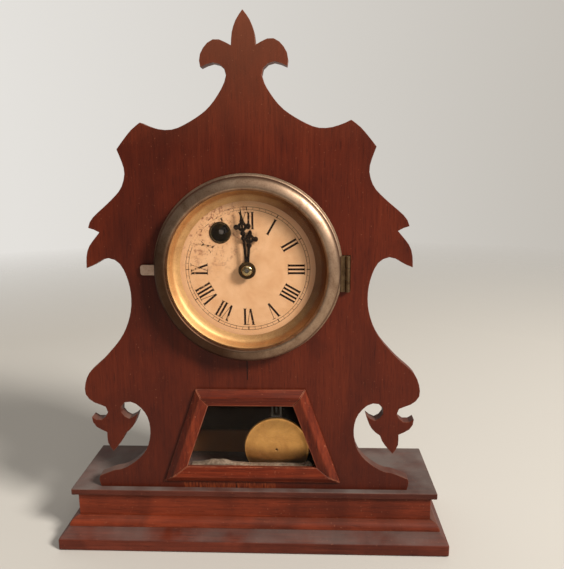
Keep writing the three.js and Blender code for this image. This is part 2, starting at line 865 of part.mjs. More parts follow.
// Centres in the plane of the plates
const centre = { x: 0, z: dialZ };
const winding = { x: windingOffsetX, z: dialZ + windingOffsetZ };
const third = (() => {
  const x = pendulumX + escapeThirdShift;
  return { x, z: dialZ + Math.sqrt(centreThirdDistance ** 2 - x ** 2) };
})();
const escape = {
  x: pendulumX,
  z: third.z + Math.sqrt(thirdEscapeDistance ** 2 - escapeThirdShift ** 2),
};
const vergeAxis = { x: pendulumX, z: escape.z + escapeVergeDistance };
const pendulumLength = vergeAxis.z - (baseTop + bobClearance + bobRadius);
const minuteArbor = {
  x: -motionDistance * Math.SQRT1_2,
  z: dialZ - motionDistance * Math.SQRT1_2,
};
const angleFrom = (a, b) => Math.atan2(b.z - a.z, b.x - a.x);
const distanceOf = (a, b) => Math.hypot(b.z - a.z, b.x - a.x);
const moduleFor = (distance, teethA, teethB) => (2 * distance) / (teethA + teethB);

// Planes along Y
const insideY = frontPlateY + plateThickness;
const ratchetY = insideY + 1.2;
const mainWheelY = ratchetY + 2;
const centreWheelY = mainWheelY + 2.4;
const mainspringY = centreWheelY + 2.1;
const thirdWheelY = centreWheelY + 4;
const escapeWheelY = frontPlateY - 3.6;
const minuteWheelY = frontPlateY - 3;
const hourWheelY = minuteWheelY - 3;

function buildMovement(parent) {
  const movement = subGroup(parent);
  buildPlates(movement);
  buildGoingTrain(movement);
  buildMotionWork(movement);
  buildEscapement(movement);
}

function pillarCentres() {
  const xs = [plateLeft + pillarInset, plateRight - pillarInset];
  const zs = [dialZ - plateBottomDrop + pillarInset, dialZ + plateTopRise - pillarInset];
  return xs.flatMap((x) => zs.map((z) => ({ x, z })));
}

function buildPlates(movement) {
  const shankRadius = pillarRadius - 1;
  const pivots = [
    [winding, windingArborRadius],
    [centre, centrePipeRadius],
    [third, arborRadius],
    [escape, arborRadius],
  ];
  const plate = (y0, holes) => {
    const bottom = dialZ - plateBottomDrop;
    const top = dialZ + plateTopRise;
    const shape = polygon([
      [plateLeft, bottom],
      [plateRight, bottom],
      [plateRight, top],
      [plateLeft, top],
    ]);
    pillarCentres().forEach(({ x, z }) => {
      shape.holes.push(circleHole(x, z, shankRadius + pivotClearance));
    });
    holes.forEach(([at, radius]) => {
      shape.holes.push(circleHole(at.x, at.z, radius + 2 * pivotClearance));
    });
    return slab(shape, y0, plateThickness);
  };
  place(movement, "front_plate", plate(frontPlateY, pivots), brass);
  place(movement, "back_plate", plate(backPlateY, pivots), brass);

  pillarCentres().forEach(({ x, z }, i) => {
    const pillar = turned(
      [
        [0, frontPlateY - 1.2],
        [pillarRadius, frontPlateY - 1.2],
        [pillarRadius, frontPlateY],
        [shankRadius, frontPlateY],
        [shankRadius, insideY],
        [pillarRadius, insideY],
        [pillarRadius, backPlateY],
        [shankRadius, backPlateY],
        [shankRadius, backInsideY - 1.2],
        [pillarRadius + 2, backInsideY - 1.2],
        [pillarRadius + 2, backInsideY],
        [0, backInsideY],
      ],
      16,
    );
    place(movement, "pillar_" + (i + 1), pillar, steel, x, 0, z);
  });
}

const windingArborRadius = 2.6;
const pivotEndY = backPlateY + plateThickness;

/** Main wheel, mainspring, click and winding arbor, then the wheels up to the escape wheel. */
function buildGoingTrain(movement) {
  const mainModule = moduleFor(distanceOf(winding, centre), mainWheelTeeth, centrePinionTeeth);
  const thirdModule = moduleFor(centreThirdDistance, centreWheelTeeth, thirdPinionTeeth);
  const escapeModule = moduleFor(thirdEscapeDistance, thirdWheelTeeth, escapePinionTeeth);

  const mainBore = windingArborRadius + pivotClearance;
  const mainWheel = gear(mainWheelTeeth, mainModule, 0, wheelForm, mainWheelY, wheelThickness, mainBore);
  const clickPost = bar(1, ratchetY - 0.4, mainWheelY + 0.2, 12).translate(clickPostRadius, 0, 0);
  place(movement, "main_wheel", union(mainWheel, clickPost), brass, winding.x, 0, winding.z);

  const square = block(-1.6, 1.6, 5, 14, -1.6, 1.6);
  const arbor = bar(windingArborRadius, 13.9, pivotEndY, 20);
  const ratchet = slab(ratchetShape(), ratchetY, 1.2);
  place(movement, "winding_arbor", union(arbor, square, ratchet), steel, winding.x, 0, winding.z);
  const click = slab(clickShape(), ratchetY, 1.2);
  place(movement, "click", click, steel, winding.x + clickPostRadius, 0, winding.z);
  place(movement, "mainspring", mainspring(), steel, winding.x, 0, winding.z);

  const toCentre = angleFrom(winding, centre);
  const centrePinionPhase = meshPhase(mainWheelTeeth, 0, toCentre, centrePinionTeeth);
  const pinionY = mainWheelY - 0.4;
  const centreBore = centreArborRadius + pivotClearance;
  const centrePinion = gear(
    centrePinionTeeth,
    mainModule,
    centrePinionPhase,
    pinionForm,
    pinionY,
    centreWheelY - pinionY + 0.1,
    centreBore,
  );
  const centreWheel = gear(
    centreWheelTeeth,
    thirdModule,
    0,
    wheelForm,
    centreWheelY,
    wheelThickness,
    centreBore,
  );
  place(movement, "centre_wheel", union(centreWheel, centrePinion), brass, centre.x, 0, centre.z);

  const toThird = angleFrom(centre, third);
  const thirdPinionPhase = meshPhase(centreWheelTeeth, 0, toThird, thirdPinionTeeth);
  const thirdArbor = bar(arborRadius, frontPlateY, pivotEndY, 12);
  const thirdPinion = gear(
    thirdPinionTeeth,
    thirdModule,
    thirdPinionPhase,
    pinionForm,
    centreWheelY - 0.5,
    thirdWheelY - centreWheelY + 0.6,
    0,
  );
  const thirdWheel = gear(thirdWheelTeeth, escapeModule, 0, wheelForm, thirdWheelY, wheelThickness, 0);
  const thirdPiece = union(thirdArbor, thirdPinion, thirdWheel);
  place(movement, "third_wheel", thirdPiece, brass, third.x, 0, third.z);

  const toEscape = angleFrom(third, escape);
  const escapePinionPhase = meshPhase(thirdWheelTeeth, 0, toEscape, escapePinionTeeth);
  const escapeArbor = bar(arborRadius, escapeWheelY - 1.4, pivotEndY, 12);
  const escapePinion = gear(
    escapePinionTeeth,
    escapeModule,
    escapePinionPhase,
    pinionForm,
    thirdWheelY - 0.5,
    2.2,
    0,
  );
  const escapeWheel = slab(escapeShape(), escapeWheelY, wheelThickness);
  const escapePiece = union(escapeArbor, escapePinion, escapeWheel);
  place(movement, "escape_wheel", escapePiece, brass, escape.x, 0, escape.z);
}

/** Saw-toothed ratchet on the winding arbor. */
function ratchetShape() {
  const points = [];
  for (let i = 0; i < ratchetTeeth; i++) {
    const angle = (i / ratchetTeeth) * FULL_TURN;
    const nearly = angle + (0.9 / ratchetTeeth) * FULL_TURN;
    points.push(new THREE.Vector2(ratchetRadius * Math.cos(angle), ratchetRadius * Math.sin(angle)));
    const root = ratchetRadius - 1.3;
    points.push(new THREE.Vector2(root * Math.cos(nearly), root * Math.sin(nearly)));
  }
  return new THREE.Shape(points);
}

/** Click about its post: an eye, and a nose that stands just clear of the ratchet's tips. */
function clickShape() {
  const noseAngle = THREE.MathUtils.degToRad(22);
  const noseRadius = ratchetRadius + runningGap;
  const noseX = noseRadius * Math.cos(noseAngle) - clickPostRadius;
  const noseZ = noseRadius * Math.sin(noseAngle);
  const shape = new THREE.Shape();
  shape.moveTo(noseX, noseZ);
  shape.lineTo(noseX + 1.8, noseZ - 1.9);
  shape.absarc(0, 0, 2.2, Math.PI, 2.5 * Math.PI, false);
  shape.lineTo(noseX + 0.9, noseZ + 1);
  shape.holes.push(circleHole(0, 0, 1 + pivotClearance));
  return shape;
}

/**
 * An open spiral strip round the winding arbor. After its whole turns it runs on to the point where
 * it can leave straight for the upper left pillar, and ends in an eye round that pillar.
 */
function mainspring() {
  const stepsPerTurn = 20;
  const half = mainspringThickness / 2;
  const start = mainspringInner + half;
  const pillar = pillarCentres()[1];
  const reach = distanceOf(winding, pillar);
  const eyeRadius = pillarRadius + runningGap + half;
  // the straight tail touches both the last coil and the eye
  const lastRadius = start + mainspringPitch * (mainspringTurns + 0.2);
  const lean = Math.acos((lastRadius - eyeRadius) / reach);
  const turns = mainspringTurns + (angleFrom(winding, pillar) - lean) / FULL_TURN;
  const steps = Math.round(turns * stepsPerTurn);
  const side = (sign) =>
    Array.from({ length: steps + 1 }, (_, i) => {
      const turn = (turns * i) / steps;
      const radius = start + mainspringPitch * turn + sign * half;
      const angle = turn * FULL_TURN;
      return new THREE.Vector2(radius * Math.cos(angle), radius * Math.sin(angle));
    });
  const inner = side(-1);
  const outer = side(1);
  const perTurn = Math.floor(steps / turns);
  let least = Infinity;
  outer.slice(0, outer.length - perTurn).forEach((p, i) => {
    inner.slice(i + perTurn - 1, i + perTurn + 2).forEach((q) => {
      least = Math.min(least, p.distanceTo(q));
    });
  });
  console.log("mainspring: least gap to itself " + least.toFixed(2) + " mm");

  const leave = turns * FULL_TURN;
  const along = new THREE.Vector2(-Math.sin(leave), Math.cos(leave));
  const length = Math.sqrt(reach ** 2 - (lastRadius - eyeRadius) ** 2);
  const tailEnd = (p) => p.clone().addScaledVector(along, length);
  const coil = new THREE.Shape([
    ...outer,
    tailEnd(outer.at(-1)),
    tailEnd(inner.at(-1)),
    ...inner.reverse(),
  ]);
  const bottom = mainspringY;
  const top = mainspringY + mainspringWidth;
  const eye = ringBar(eyeRadius + half, eyeRadius - half, bottom, top, 20);
  eye.translate(pillar.x - winding.x, 0, pillar.z - winding.z);
  const bore = bar(eyeRadius - half, bottom - 1, top + 1, 20);
  bore.translate(pillar.x - winding.x, 0, pillar.z - winding.z);
  return cut(union(slab(coil, bottom, mainspringWidth), eye), bore);
}

/** Pointed escape teeth; a gap lies on the line up to the verge. */
function escapeShape() {
  const points = [];
  const step = FULL_TURN / escapeTeeth;
  for (let i = 0; i < escapeTeeth; i++) {
    const angle = Math.PI / 2 + (i + 0.5) * step;
    const root = escapeRadius - 2.6;
    const corners = [
      [root, -0.3],
      [escapeRadius, -0.06],
      [escapeRadius, 0.06],
      [root, 0.3],
    ];
    corners.forEach(([radius, share]) => {
      const at = angle + share * step;
      points.push(new THREE.Vector2(radius * Math.cos(at), radius * Math.sin(at)));
    });
  }
  return new THREE.Shape(points);
}

/** Centre arbor with its cannon pinion, the minute wheel, and the hour wheel on its pipe. */
function buildMotionWork(movement) {
  const fastModule = moduleFor(motionDistance, cannonTeeth, minuteWheelTeeth);
  const slowModule = moduleFor(motionDistance, minutePinionTeeth, hourWheelTeeth);
  const toMinute = angleFrom(centre, minuteArbor);

  const arbor = bar(centreArborRadius, -minuteHandDepth - 2.4, pivotEndY, 16);
  const cannon = gear(cannonTeeth, fastModule, 0, pinionForm, minuteWheelY - 0.5, 2.4, 0);
  place(movement, "centre_arbor", union(arbor, cannon), steel, centre.x, 0, centre.z);

  const minuteWheelPhase = meshPhase(cannonTeeth, 0, toMinute, minuteWheelTeeth);
  const stud = 1.2;
  const minuteWheel = gear(
    minuteWheelTeeth,
    fastModule,
    minuteWheelPhase,
    wheelForm,
    minuteWheelY,
    wheelThickness,
    stud + pivotClearance,
  );
  const minutePinion = gear(
    minutePinionTeeth,
    slowModule,
    0,
    pinionForm,
    hourWheelY - 0.5,
    minuteWheelY - hourWheelY + 0.6,
    stud + pivotClearance,
  );
  const minutePiece = union(minuteWheel, minutePinion);
  place(movement, "minute_wheel", minutePiece, brass, minuteArbor.x, 0, minuteArbor.z);
  const studBar = bar(stud, hourWheelY - 1.4, frontPlateY, 12);
  place(movement, "minute_stud", studBar, steel, minuteArbor.x, 0, minuteArbor.z);

  const toHour = angleFrom(minuteArbor, centre);
  const hourPhase = meshPhase(minutePinionTeeth, 0, toHour, hourWheelTeeth);
  const pipeBore = centreArborRadius + runningGap;
  const hourWheel = gear(
    hourWheelTeeth,
    slowModule,
    hourPhase,
    wheelForm,
    hourWheelY,
    wheelThickness,
    pipeBore,
  );
  const pipe = ringBar(hourPipeRadius, pipeBore, -hourHandDepth - handThickness, hourWheelY + 0.1, 24);
  place(movement, "hour_wheel", union(hourWheel, pipe), brass, centre.x, 0, centre.z);
}

// ---------------------------------------------------------------- hands

/** A hand pointing up: boss with a bore, waisted stem, cross ornament and pointed tip. */
function handShape(length, ornamentAt, bossRadius, boreRadius) {
  const shape = new THREE.Shape();
  const arm = 3.3;
  const neck = 0.55;
  const right = [
    [bossRadius * Math.sin(0.35), bossRadius * Math.cos(0.35)],
    [1.5, ornamentAt - arm - 2.4],
    [2.6, ornamentAt - arm + 0.4],
    [neck + 0.5, ornamentAt - 0.9],
    [arm + 0.4, ornamentAt - 1.5],
    [arm + 0.4, ornamentAt + 1.5],
    [neck + 0.5, ornamentAt + 0.9],
    [1.7, ornamentAt + arm - 0.4],
    [neck, ornamentAt + arm + 1.6],
  ];
  right.forEach(([x, z], i) => (i === 0 ? shape.moveTo(x, z) : shape.lineTo(x, z)));
  shape.lineTo(0, length);
  [...right].reverse().forEach(([x, z]) => shape.lineTo(-x, z));
  const start = Math.PI / 2 + 0.35;
  shape.absarc(0, 0, bossRadius, start, start + FULL_TURN - 0.7, false);
  shape.holes.push(circleHole(0, 0, boreRadius));
  return shape;
}

function buildHands(parent) {
  const hands = subGroup(parent);
  const turn = (degrees) => THREE.MathUtils.degToRad(degrees);
  const hourShape = handShape(
    hourHandLength,
    hourOrnamentAt,
    hourBossRadius,
    hourPipeRadius + pivotClearance,
  );
  const hour = slab(hourShape, -hourHandDepth - handThickness, handThickness);
  hour.rotateY(turn(hourHandAngle));
  place(hands, "hour_hand", hour, blackSteel, centre.x, 0, centre.z);

  const minuteShape = handShape(
    minuteHandLength,
    minuteOrnamentAt,
    minuteBossRadius,
    centreArborRadius + pivotClearance,
  );
  const minute = slab(minuteShape, -minuteHandDepth - handThickness, handThickness);
  minute.rotateY(turn(minuteHandAngle));
  place(hands, "minute_hand", minute, blackSteel, centre.x, 0, centre.z);

  const seat = -minuteHandDepth - handThickness;
  const bore = centreArborRadius + pivotClearance;
  const nut = turned(
    [
      [bore, seat],
      [handNutRadius, seat],
      [handNutRadius, seat - 0.2 * handNutDepth],
      [0.68 * handNutRadius, seat - 0.36 * handNutDepth],
      [0.55 * handNutRadius, seat - 0.76 * handNutDepth],
      [bore, seat - handNutDepth],
    ],
    32,
  );
  place(hands, "hand_nut", nut, brass, centre.x, 0, centre.z);
}

// ---------------------------------------------------------------- escapement and pendulum

function buildEscapement(movement) {
  const studRadius = 1.1;
  const studFrontY = escapeWheelY - 2.6;
  const stud = bar(studRadius, studFrontY, frontPlateY, 12);
  place(movement, "verge_stud", stud, steel, vergeAxis.x, 0, vergeAxis.z);
  const verge = vergePiece(studRadius + pivotClearance);
  place(movement, "verge", verge, steel, vergeAxis.x, 0, vergeAxis.z);

  // The cock stands on the plate above the verge and reaches forward over the pendulum
  const headFront = pendulumY - 3;
  const armRise = 6.5;
  const foot = block(-5, 5, frontPlateY - 1.2, frontPlateY, armRise, armRise + 4);
  const arm = block(-3, 3, headFront, frontPlateY - 1.1, armRise, armRise + 1.5);
  const head = block(-3, 3, headFront, pendulumY + 2, runningGap, armRise + 0.1);
  place(movement, "suspension_cock", union(foot, arm, head), brass, vergeAxis.x, 0, vergeAxis.z);
}

/** Verge about its stud: a bent strip whose two pallets just clear the escape teeth, with a crutch. */
function vergePiece(boreRadius) {
  const thickness = wheelThickness;
  const palletAngle = Math.acos(escapeRadius / escapeVergeDistance);
  const palletReach = Math.sqrt(escapeVergeDistance ** 2 - escapeRadius ** 2);
  const lift = palletReach * Math.sin(THREE.MathUtils.degToRad(pendulumSwing));
  const tipRadius = escapeRadius + runningGap + lift;
  const x = tipRadius * Math.sin(palletAngle);
  const z = tipRadius * Math.cos(palletAngle) - escapeVergeDistance;
  const strip = polygon([
    [-x, z],
    [-x - 0.9, z + 0.6],
    [-x - 1.4, z + 5.4],
    [-3, 2.6],
    [3, 2.6],
    [x + 1.4, z + 5.4],
    [x + 0.9, z + 0.6],
    [x, z],
    [x + 0.1, z + 4],
    [2.4, -2.2],
    [-2.4, -2.2],
    [-x - 0.1, z + 4],
  ]);
  const bore = bar(boreRadius, escapeWheelY - 1, escapeWheelY + thickness + 1);
  const anchor = cut(slab(strip, escapeWheelY, thickness), bore);
  const crutchY = pendulumY + 3.4;
  const wire = 0.7;
  const drop = 46;
  const collar = ringBar(2.4, boreRadius, crutchY - wire, escapeWheelY + 0.1, 16);
  const leg = block(-wire, wire, crutchY - wire, crutchY + wire, -drop, -1.6);
  const inner = rodRadius + 0.5;
  const outer = inner + 1.2;
  const forkFront = pendulumY - 1.6;
  const fork = cut(
    block(-outer, outer, forkFront, crutchY + wire, -drop, -drop + 1.4),
    block(-inner, inner, forkFront + 0.9, crutchY - wire - 0.1, -drop - 1, -drop + 2),
  );
  return union(anchor, collar, leg, fork);
}

function buildPendulum(parent) {
  const pendulum = subGroup(parent);
  pendulum.position.set(pendulumX, pendulumY, vergeAxis.z);
  const bobZ = -pendulumLength;
  const stirrupTop = bobZ + bobRadius + stirrupHeight;
  const springEnd = -springLength;
  const thin = springThickness / 2;
  const spring = block(-thin, thin, -1.5, 1.5, springEnd, 0);
  const clasp = block(-1, 1, -1.7, 1.7, springEnd - 2, springEnd + 2);
  const rod = uprightBar(0, 0, stirrupTop - rodThreadLength, springEnd, rodRadius, 10);
  place(pendulum, "pendulum_rod", union(rod, clasp, spring), steel);

  const legX = stirrupHalfWidth;
  const outline = block(
    -legX - stirrupWire,
    legX + stirrupWire,
    -stirrupWire,
    stirrupWire,
    bobZ + bobRadius + 0.1,
    stirrupTop,
  );
  const inside = block(
    -legX + stirrupWire,
    legX - stirrupWire,
    -1,
    1,
    bobZ + bobRadius + 1.6,
    stirrupTop - 1.4,
  );
  const hole = uprightBar(0, 0, stirrupTop - 3, stirrupTop + 1, rodRadius + pivotClearance / 2, 10);
  const washer = block(-legX, legX, -1.5, 1.5, stirrupTop - 1.4, stirrupTop);
  const frame = cut(union(outline, washer), inside, hole);
  place(pendulum, "bob_stirrup", frame, steel);

  const nutTop = stirrupTop - 1.4;
  const nut = cut(
    uprightBar(0, 0, nutTop - 3, nutTop, legX - stirrupWire - 0.2, 14),
    uprightBar(0, 0, nutTop - 4, nutTop + 1, rodRadius + pivotClearance / 2, 10),
  );
  place(pendulum, "rating_nut", nut, brass);

  const half = bobThickness / 2;
  const bob = turned(
    [
      [0, -half],
      [bobRadius * 0.45, -half + 0.7],
      [bobRadius * 0.8, -half + 2.1],
      [bobRadius, -0.7],
      [bobRadius, 0.7],
      [bobRadius * 0.8, half - 2.1],
      [bobRadius * 0.45, half - 0.7],
      [0, half],
    ],
    roundSegments,
  );
  place(pendulum, "pendulum_bob", bob, gilt, 0, 0, bobZ);
}

// ---------------------------------------------------------------- assembly

const clock = new THREE.Group();
buildBase(clock);
buildFrontBoard(clock);
buildCase(clock);
buildDial(clock);
buildBezel(clock);
buildMovement(clock);
buildHands(clock);
buildPendulum(clock);

// The finished part stands on z = 0 with its origin under the middle of the base.
clock.position.y = -(bottomFrontY + baseRearY) / 2;

export default clock;
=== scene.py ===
"""The looks of a fretwork shelf clock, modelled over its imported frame.

The clock stands on the floor at z = 0. X runs to the right as seen from the front, Y from front to
back and Z up, all in metres. The front face of the scroll-cut board lies at y = BOARD_FRONT.
Sizes written with MM are in metres. Profiles of turned pieces, and plain sizes on the dial, the
hands, the pendulum and the back, are in millimetres until they are drawn. A Span in a finish holds
what becomes 0 and what becomes 1.
"""

import logging
import math
from dataclasses import dataclass, replace
from enum import Enum
from typing import Callable, Iterable, Sequence

import bpy
from mathutils import Matrix, Vector


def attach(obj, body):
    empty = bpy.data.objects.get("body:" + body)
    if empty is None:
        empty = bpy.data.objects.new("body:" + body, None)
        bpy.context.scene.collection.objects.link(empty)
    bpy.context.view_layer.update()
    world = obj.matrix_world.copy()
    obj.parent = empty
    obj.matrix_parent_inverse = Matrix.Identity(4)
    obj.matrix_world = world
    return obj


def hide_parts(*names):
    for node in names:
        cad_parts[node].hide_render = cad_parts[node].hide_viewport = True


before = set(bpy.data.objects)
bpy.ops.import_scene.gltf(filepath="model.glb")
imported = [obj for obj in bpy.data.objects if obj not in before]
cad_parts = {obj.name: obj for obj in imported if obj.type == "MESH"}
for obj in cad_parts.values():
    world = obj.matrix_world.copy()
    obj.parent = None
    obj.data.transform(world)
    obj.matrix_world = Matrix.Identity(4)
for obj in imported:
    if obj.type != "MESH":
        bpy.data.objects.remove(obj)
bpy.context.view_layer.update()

LOG = logging.getLogger("clock")

Colour = tuple[float, float, float, float]
Point = tuple[float, float]
Span = tuple[float, float]
Place = tuple[float, float, float]
Profile = tuple[Point, ...]
Sockets = dict[str, bpy.types.NodeSocket]

MM = 0.001
FULL_TURN = 2 * math.pi
BOARD_FRONT = -24.9 * MM
BOARD_BACK = -15.9 * MM
DIAL_HEIGHT = 214.2 * MM
DIAL_CENTRE = Vector((0.0, BOARD_FRONT, DIAL_HEIGHT))
WINDING_HOLE: Point = (-19.0, 26.3)


def srgb(red: int, green: int, blue: int) -> Colour:
    """A colour as it looks on a screen, turned into the linear one that shaders read.

    Args:
        red: red as shown, 0 to 255.
        green: green as shown.
        blue: blue as shown.

    Returns:
        The linear colour with full alpha.
    """

    def linear(value: int) -> float:
        """One channel through the screen standard's own curve."""
        part = value / 255
        return part / 12.92 if part <= 0.04045 else ((part + 0.055) / 1.055) ** 2.4

    return (linear(red), linear(green), linear(blue), 1.0)


def at(x: float, y: float, z: float) -> Place:
    """A place given in millimetres, in metres."""
    return (x * MM, y * MM, z * MM)


def on_dial(across: float, up: float) -> Vector:
    """A place level with the board's front, given in millimetres from the dial's centre."""
    return DIAL_CENTRE + Vector((across * MM, 0, up * MM))


class Grain(Enum):
    """The world axis that a board's grain runs along, as a turn that lays Z on it."""

    UPRIGHT = (0.0, 0.0, 0.0)
    ACROSS = (0.0, math.pi / 2, 0.0)
    DEEP = (math.pi / 2, 0.0, 0.0)


class Body(Enum):
    """The bodies that the new pieces ride on."""

    CASE = "case"
    BEZEL = "bezel"
    REAR_DOOR = "rear_door"
    MINUTE = "minute_arbor"
    HOUR = "hour_pipe"
    PENDULUM = "pendulum"


# ------------------------------------------------------------------ bench work


class Bench:
    """Modelling moves that many pieces share."""

    DOUBLED = 2e-6
    NODE_DOUBLED = 5e-6
    NODE_FLAT = 0.4
    THINNEST = 1e-6
    BEVEL_ANGLE = 28
    SMOOTH_ANGLE = 35
    SMOOTH_PAST_BEVEL = 4
    BALL_SEGMENTS = 20
    BALL_RINGS = 12
    BALL_ANGLE = 60

    @staticmethod
    def clear() -> None:
        """Return to object mode with nothing selected."""
        active = bpy.context.view_layer.objects.active
        if active is not None and active.mode != "OBJECT":
            bpy.ops.object.mode_set(mode="OBJECT")
        bpy.ops.object.select_all(action="DESELECT")

    @staticmethod
    def pick(*pieces: bpy.types.Object) -> None:
        """Select some pieces alone.

        Args:
            pieces: the pieces, of which the first becomes the active one.
        """
        Bench.clear()
        for piece in pieces:
            piece.select_set(True)
        bpy.context.view_layer.objects.active = pieces[0]

    @staticmethod
    def put(name: str, data: bpy.types.ID) -> bpy.types.Object:
        """Put a mesh, a curve, a lamp or a camera in the scene.

        Args:
            name: the object's name.
            data: what it holds.

        Returns:
            The new object.
        """
        thing = bpy.data.objects.new(name, data)
        bpy.context.scene.collection.objects.link(thing)
        return thing

    @staticmethod
    def named(name: str) -> bpy.types.Object:
        """Name the piece that was just added, and its mesh.

        Args:
            name: the name.

        Returns:
            The piece.
        """
        piece = bpy.context.object
        piece.name = name
        piece.data.name = name
        return piece

    @staticmethod
    def edit(piece: bpy.types.Object) -> None:
        """Open a piece in edit mode with its whole mesh selected.

        Args:
            piece: the piece to open.
        """
        Bench.pick(piece)
        bpy.ops.object.mode_set(mode="EDIT")
        bpy.ops.mesh.select_mode(type="VERT")
        bpy.ops.mesh.select_all(action="SELECT")

    @staticmethod
    def close() -> None:
        """Leave edit mode."""
        bpy.ops.object.mode_set(mode="OBJECT")

    @staticmethod
    def settle(piece: bpy.types.Object) -> None:
        """Move a piece's place, turn and size into its mesh."""
        Bench.pick(piece)
        bpy.ops.object.transform_apply(location=True, rotation=True, scale=True)

    @staticmethod
    def modify(piece: bpy.types.Object, kind: str, **settings: object) -> None:
        """Add a modifier and apply it at once.

        Args:
            piece: the piece to change.
            kind: the modifier's type.
            settings: its settings by name.
        """
        Bench.pick(piece)
        modifier = piece.modifiers.new(kind.title(), kind)
        for key, value in settings.items():
            setattr(modifier, key, value)
        bpy.ops.object.modifier_apply(modifier=modifier.name)

    @staticmethod
    def smooth(piece: bpy.types.Object, degrees: float = SMOOTH_ANGLE) -> None:
        """Shade a piece smoothly across edges flatter than an angle."""
        Bench.pick(piece)
        bpy.ops.object.shade_smooth_by_angle(angle=math.radians(degrees))

    @staticmethod
    def join(name: str, pieces: Sequence[bpy.types.Object]) -> bpy.types.Object:
        """Join pieces into one.

        Args:
            name: the joined piece's name.
            pieces: the pieces, of which the first takes up the others.

        Returns:
            The joined piece.
        """
        Bench.pick(*pieces)
        if len(pieces) > 1:
            bpy.ops.object.join()
        return Bench.named(name)

    @staticmethod
    def clean(piece: bpy.types.Object) -> None:
        """Merge doubled points and turn every face outwards.

        Args:
            piece: the piece to clean.
        """
        Bench.edit(piece)
        bpy.ops.mesh.remove_doubles(threshold=Bench.DOUBLED)
        bpy.ops.mesh.normals_make_consistent(inside=False)
        Bench.close()

    @staticmethod
    def from_node(
        node: str, name: str, bevel: float, angle: float = BEVEL_ANGLE
    ) -> bpy.types.Object:
        """A merged copy of a node's own solid with its sharp edges eased.

        Args:
            node: the node that is copied.
            name: the new piece's name.
            bevel: width of the eased edges in metres, or 0 for none.
            angle: edges sharper than this, in degrees, are eased.

        Returns:
            The new piece.
        """
        piece = Bench.put(name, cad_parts[node].data.copy())
        piece.data.name = name
        piece.data.materials.clear()
        Bench.edit(piece)
        bpy.ops.mesh.remove_doubles(threshold=Bench.NODE_DOUBLED)
        bpy.ops.mesh.dissolve_limited(angle_limit=math.radians(Bench.NODE_FLAT))
        Bench.close()
        if bevel > 0:
            Bench.modify(
                piece,
                "BEVEL",
                width=bevel,
                segments=2,
                limit_method="ANGLE",
                angle_limit=math.radians(angle),
                use_clamp_overlap=True,
            )
        Bench.smooth(piece, angle + Bench.SMOOTH_PAST_BEVEL)
        Bench.modify(piece, "WEIGHTED_NORMAL", mode="FACE_AREA", keep_sharp=True)
        return piece

    @staticmethod
    def before(profile: Iterable[Point]) -> list[Point]:
        """A profile of (radius, distance before the centre), as Bench.turn takes it."""
        return [(radius, -depth) for radius, depth in profile]

    @staticmethod
    def turn(
        name: str, profile: Sequence[Point], centre: Vector, steps: int
    ) -> bpy.types.Object:
        """Draw a profile point by point and spin it round an axis from front to back.

        Args:
            name: the piece's name.
            profile: points as (radius, distance behind the centre), in millimetres.
            centre: the point of the axis that the distances start from.
            steps: steps of the spin.

        Returns:
            The turned piece, closed and facing outwards.
        """
        Bench.clear()
        bpy.ops.mesh.primitive_plane_add(size=MM, location=centre)
        piece = Bench.named(name)
        Bench.settle(piece)
        Bench.edit(piece)
        bpy.ops.mesh.merge(type="CENTER")
        last = (0.0, 0.0)
        for index, (radius, along) in enumerate(profile):
            here = (radius * MM, along * MM)
            step = Vector((here[0] - last[0], here[1] - last[1], 0))
            if index == 0:
                bpy.ops.transform.translate(value=step)
            else:
                bpy.ops.mesh.extrude_region_move(TRANSFORM_OT_translate={"value": step})
            last = here
        bpy.ops.mesh.select_all(action="SELECT")
        bpy.ops.mesh.spin(
            steps=steps, angle=FULL_TURN, center=centre, axis=(0, 1, 0), use_auto_merge=True
        )
        Bench.close()
        Bench.clean(piece)
        Bench.smooth(piece)
        return piece

    @staticmethod
    def plate(
        name: str,
        loops: Sequence[Sequence[Point]],
        centre: Vector,
        thickness: float,
        bevel: float,
    ) -> bpy.types.Object:
        """A flat plate that faces the front, cut to closed outlines.

        Args:
            name: the piece's name.
            loops: outlines of (x, z) points in millimetres; a loop inside another is a hole.
            centre: where the outlines' zero lies; the plate is centred on its y.
            thickness: the plate's whole thickness in metres.
            bevel: how far its edges are rounded, in metres.

        Returns:
            The plate as a mesh.
        """
        curve = bpy.data.curves.new(name, "CURVE")
        curve.dimensions = "2D"
        curve.fill_mode = "BOTH"
        curve.extrude = max(thickness / 2 - bevel, Bench.THINNEST)
        curve.bevel_depth = bevel
        curve.bevel_resolution = 1
        curve.offset = -bevel
        for loop in loops:
            spline = curve.splines.new("POLY")
            spline.points.add(len(loop) - 1)
            for spot, (x, z) in zip(spline.points, loop):
                spot.co = (x * MM, z * MM, 0, 1)
            spline.use_cyclic_u = True
        Bench.pick(Bench.put(name, curve))
        bpy.ops.object.convert(target="MESH")
        piece = Bench.named(name)
        piece.rotation_euler = (math.pi / 2, 0, 0)
        piece.location = centre
        Bench.settle(piece)
        Bench.clean(piece)
        Bench.smooth(piece)
        return piece

    @staticmethod
    def ball(name: str, radius: float, centre: Vector, squash: Place) -> bpy.types.Object:
        """A squashed ball.

        Args:
            name: the piece's name.
            radius: its radius in metres before it is squashed.
            centre: its middle.
            squash: how far it is squashed along each axis.

        Returns:
            The ball.
        """
        Bench.clear()
        bpy.ops.mesh.primitive_uv_sphere_add(
            segments=Bench.BALL_SEGMENTS,
            ring_count=Bench.BALL_RINGS,
            radius=radius,
            location=centre,
            scale=squash,
        )
        piece = Bench.named(name)
        Bench.settle(piece)
        Bench.smooth(piece, Bench.BALL_ANGLE)
        return piece


# ------------------------------------------------------------------ shader wiring


